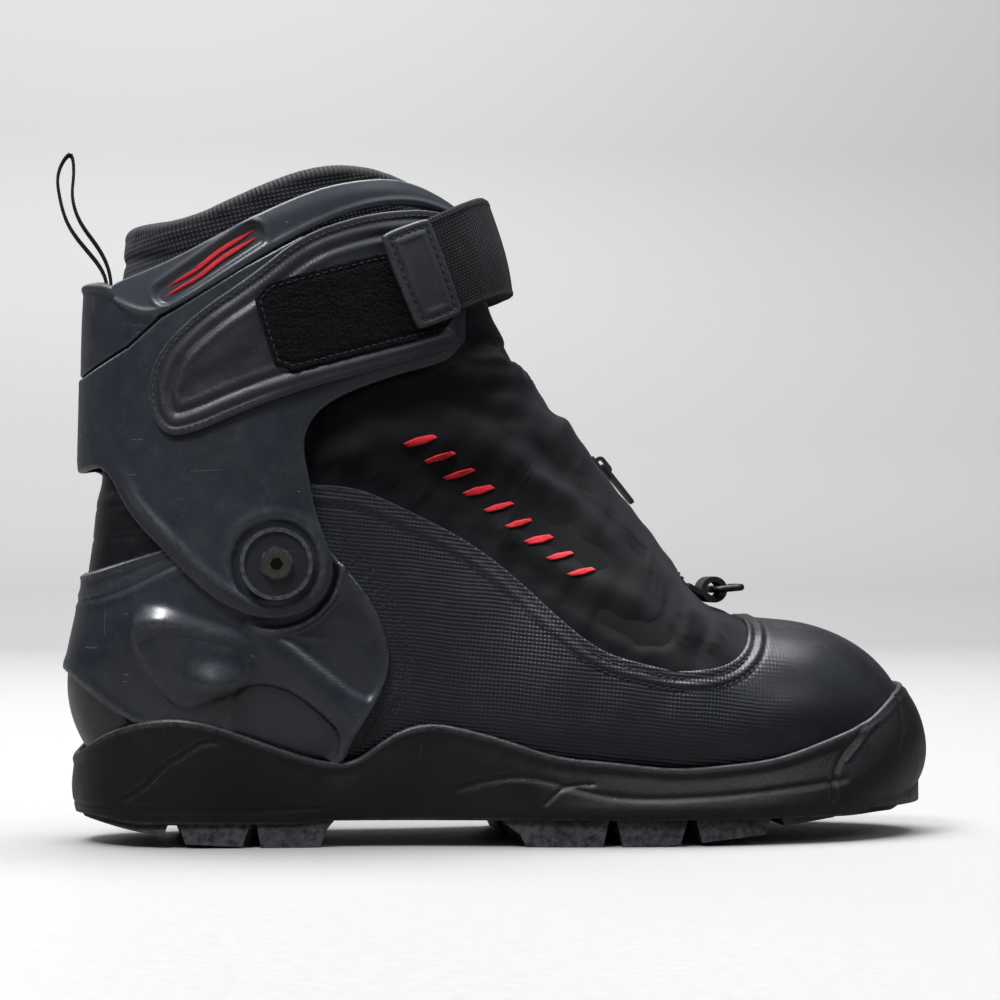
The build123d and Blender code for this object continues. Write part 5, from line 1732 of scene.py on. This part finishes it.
def badge_shapes():
    """Two wavy strokes along the oval recess."""
    shapes = []
    # start, end along the badge; start, end across it in mm
    for first, last, across0, across1 in ((-0.02, 1.02, -1.3, -0.9), (0.04, 1.04, 1.0, 1.5)):
        part = np.linspace(first, last, 22)
        across = across0 + (across1 - across0) * part + 0.35 * np.sin((part - 0.5) * 9.0)
        centre = (badge_start + badge_dir * (part * badge_length)[:, None]
                  + badge_up * across[:, None])
        swell = np.sin(np.clip((part - first) / (last - first), 0, 1) * math.pi) ** 0.5
        half = (0.75 * swell + 0.08)[:, None]
        shapes.append(np.concatenate([centre + badge_up * half,
                                      (centre - badge_up * half)[::-1]]))
    return shapes


cover_mark = raised_marks("cover_mark", foot, cover_shapes(), low=-0.3, high=0.62,
                          follow=follow_cover)
dress(cover_mark, "red", "red", "lower_boot")
badge_mark = raised_marks("badge_mark", shaft, badge_shapes(), low=-1.25, high=-0.62)
dress(badge_mark, "red", "red", "cuff", "badges")

# ---------------------------------------------------------------- pull loop at the rear
LOOP_PATH = [(-50.9, 177.0), (-51.4, 186.0), (-55.2, 194.5), (-61.3, 203.5), (-63.6, 212.0),
             (-63.2, 220.0), (-64.4, 225.0), (-67.0, 222.0), (-67.9, 212.0), (-65.2, 202.6),
             (-58.0, 192.6), (-53.0, 185.0), (-52.0, 177.0)]
# shares of the half width and half thickness around the band
LOOP_PROFILE = [(-1, 0), (-0.93, 0.8), (-0.5, 1), (0, 0.92), (0.5, 1), (0.93, 0.8), (1, 0),
                (0.93, -0.8), (0.5, -1), (0, -0.92), (-0.5, -1), (-0.93, -0.8)]
LOOP_COUNT, LOOP_HALF_WIDTH, LOOP_HALF_THICK, LOOP_UV_STEP = 90, 5.2, 0.5, 1.2


def pull_loop():
    path = smooth_line(LOOP_PATH, LOOP_COUNT)
    tangent = np.gradient(path, axis=0)
    tangent /= np.linalg.norm(tangent, axis=1)[:, None]
    normal = np.stack([-tangent[:, 1], tangent[:, 0]], -1)
    taper = 0.72 + 0.28 * np.abs(np.linspace(-1, 1, LOOP_COUNT))
    points, point_uvs = [], []
    for k in range(LOOP_COUNT):
        for across, thick in LOOP_PROFILE:
            x, z = path[k] + normal[k] * thick * LOOP_HALF_THICK
            points.append((x, across * LOOP_HALF_WIDTH * taper[k], z))
            point_uvs.append((across * LOOP_HALF_WIDTH, k * LOOP_UV_STEP))
    faces = tube_faces(LOOP_COUNT, len(LOOP_PROFILE))
    obj = new_mesh("pull_loop_skin", points, faces, [point_uvs[i] for f in faces for i in f])
    face_outwards(obj)
    dress(obj, "webfine", "webbing", "pull_loop", "pull_loop")


pull_loop()

# ---------------------------------------------------------------- floor
# profile (y, z): level, then curving up into a wall behind the boot
FLOOR_PROFILE = [(-6000, 0), (2500, 0), (3300, 60), (3800, 300), (4000, 800), (4000, 6000)]
FLOOR_HALF_WIDTH = 9000


def mat_floor():
    """Pale to the camera, darker for the light it bounces."""
    m = Mat("floor_pale")
    spot = m.vec(scale=(8, 8, 8))
    cloud = m.noise(spot, scale=30.0, detail=3, rough=0.6)
    color = m.mix(m.span(cloud, lo=0.3, hi=0.7), (0.335, 0.332, 0.326), (0.345, 0.342, 0.336))
    camera_ray = m.node("LightPath").outputs["Is Camera Ray"]
    color = m.mix(camera_ray, (0.10, 0.098, 0.094), color)
    rough = m.span(m.noise(spot, scale=30.0, detail=3), lo=0.3, hi=0.7, to=(0.42, 0.50))
    return m.finish(color, rough, spec=0.3)


floor_mat = mat_floor()
floor = new_mesh(
    "floor", np.array([(x, y, z) for y, z in FLOOR_PROFILE
                       for x in (-FLOOR_HALF_WIDTH, FLOOR_HALF_WIDTH)], float),
    [(k, k + 1, k + 3, k + 2) for k in range(0, 2 * len(FLOOR_PROFILE) - 2, 2)])
floor.data.materials.append(floor_mat)

# ---------------------------------------------------------------- lights, world and camera (m)


def look_at(obj, loc, target):
    obj.location = loc
    aim = Vector(target) - obj.location
    obj.rotation_euler = aim.to_track_quat("-Z", "Y").to_euler()


def light(name, loc, target, size, power, color=(1, 1, 1)):
    data = bpy.data.lights.new(name, "AREA")
    data.shape = "RECTANGLE"
    data.size, data.size_y = size
    data.energy = power
    data.color = color
    obj = bpy.data.objects.new(name, data)
    look_at(obj, loc, target)
    bpy.context.scene.collection.objects.link(obj)


light("key", (-0.75, -0.95, 1.75), target=(0.05, 0, 0.1), size=(0.70, 0.55), power=42)
light("fill", (1.5, -1.5, 1.5), target=(0.08, 0, 0.1), size=(0.6, 0.5), power=5.5,
      color=(0.93, 0.96, 1.0))
light("top", (0.15, -0.05, 1.9), target=(0.08, 0, 0.1), size=(1.2, 1.2), power=34)
light("wall", (0.1, 1.2, 3.4), target=(0.1, 3.8, 0.6), size=(3.0, 3.0), power=290)
light("back", (-1.1, 1.3, 1.2), target=(0.05, 0, 0.12), size=(0.8, 0.8), power=9)


def build_world():
    """Bluish sky that brightens with height."""
    world = bpy.data.worlds.new("studio")
    world.use_nodes = True
    nodes, links = world.node_tree.nodes, world.node_tree.links
    background = nodes["Background"]
    coords = nodes.new("ShaderNodeTexCoord")
    split = nodes.new("ShaderNodeSeparateXYZ")
    ramp = nodes.new("ShaderNodeMapRange")
    links.new(coords.outputs["Generated"], split.inputs[0])
    links.new(split.outputs[2], ramp.inputs["Value"])
    for key, value in (("From Min", 0.05), ("From Max", 0.95), ("To Min", 0.015),
                       ("To Max", 0.80)):
        ramp.inputs[key].default_value = value
    links.new(ramp.outputs[0], background.inputs["Strength"])
    background.inputs["Color"].default_value = (0.80, 0.88, 1.0, 1)
    bpy.context.scene.world = world


build_world()
bpy.context.scene.view_settings.view_transform = "Standard"

SENSOR_WIDTH = 36
camera_data = bpy.data.cameras.new("camera")
camera = bpy.data.objects.new("camera", camera_data)
bpy.context.scene.collection.objects.link(camera)
look_at(camera, (-0.069, -1.0, 0.088), target=(0.0785, 0.0, 0.112))
camera_data.sensor_width = SENSOR_WIDTH
camera_data.lens = SENSOR_WIDTH * 3.02
bpy.context.scene.camera = camera
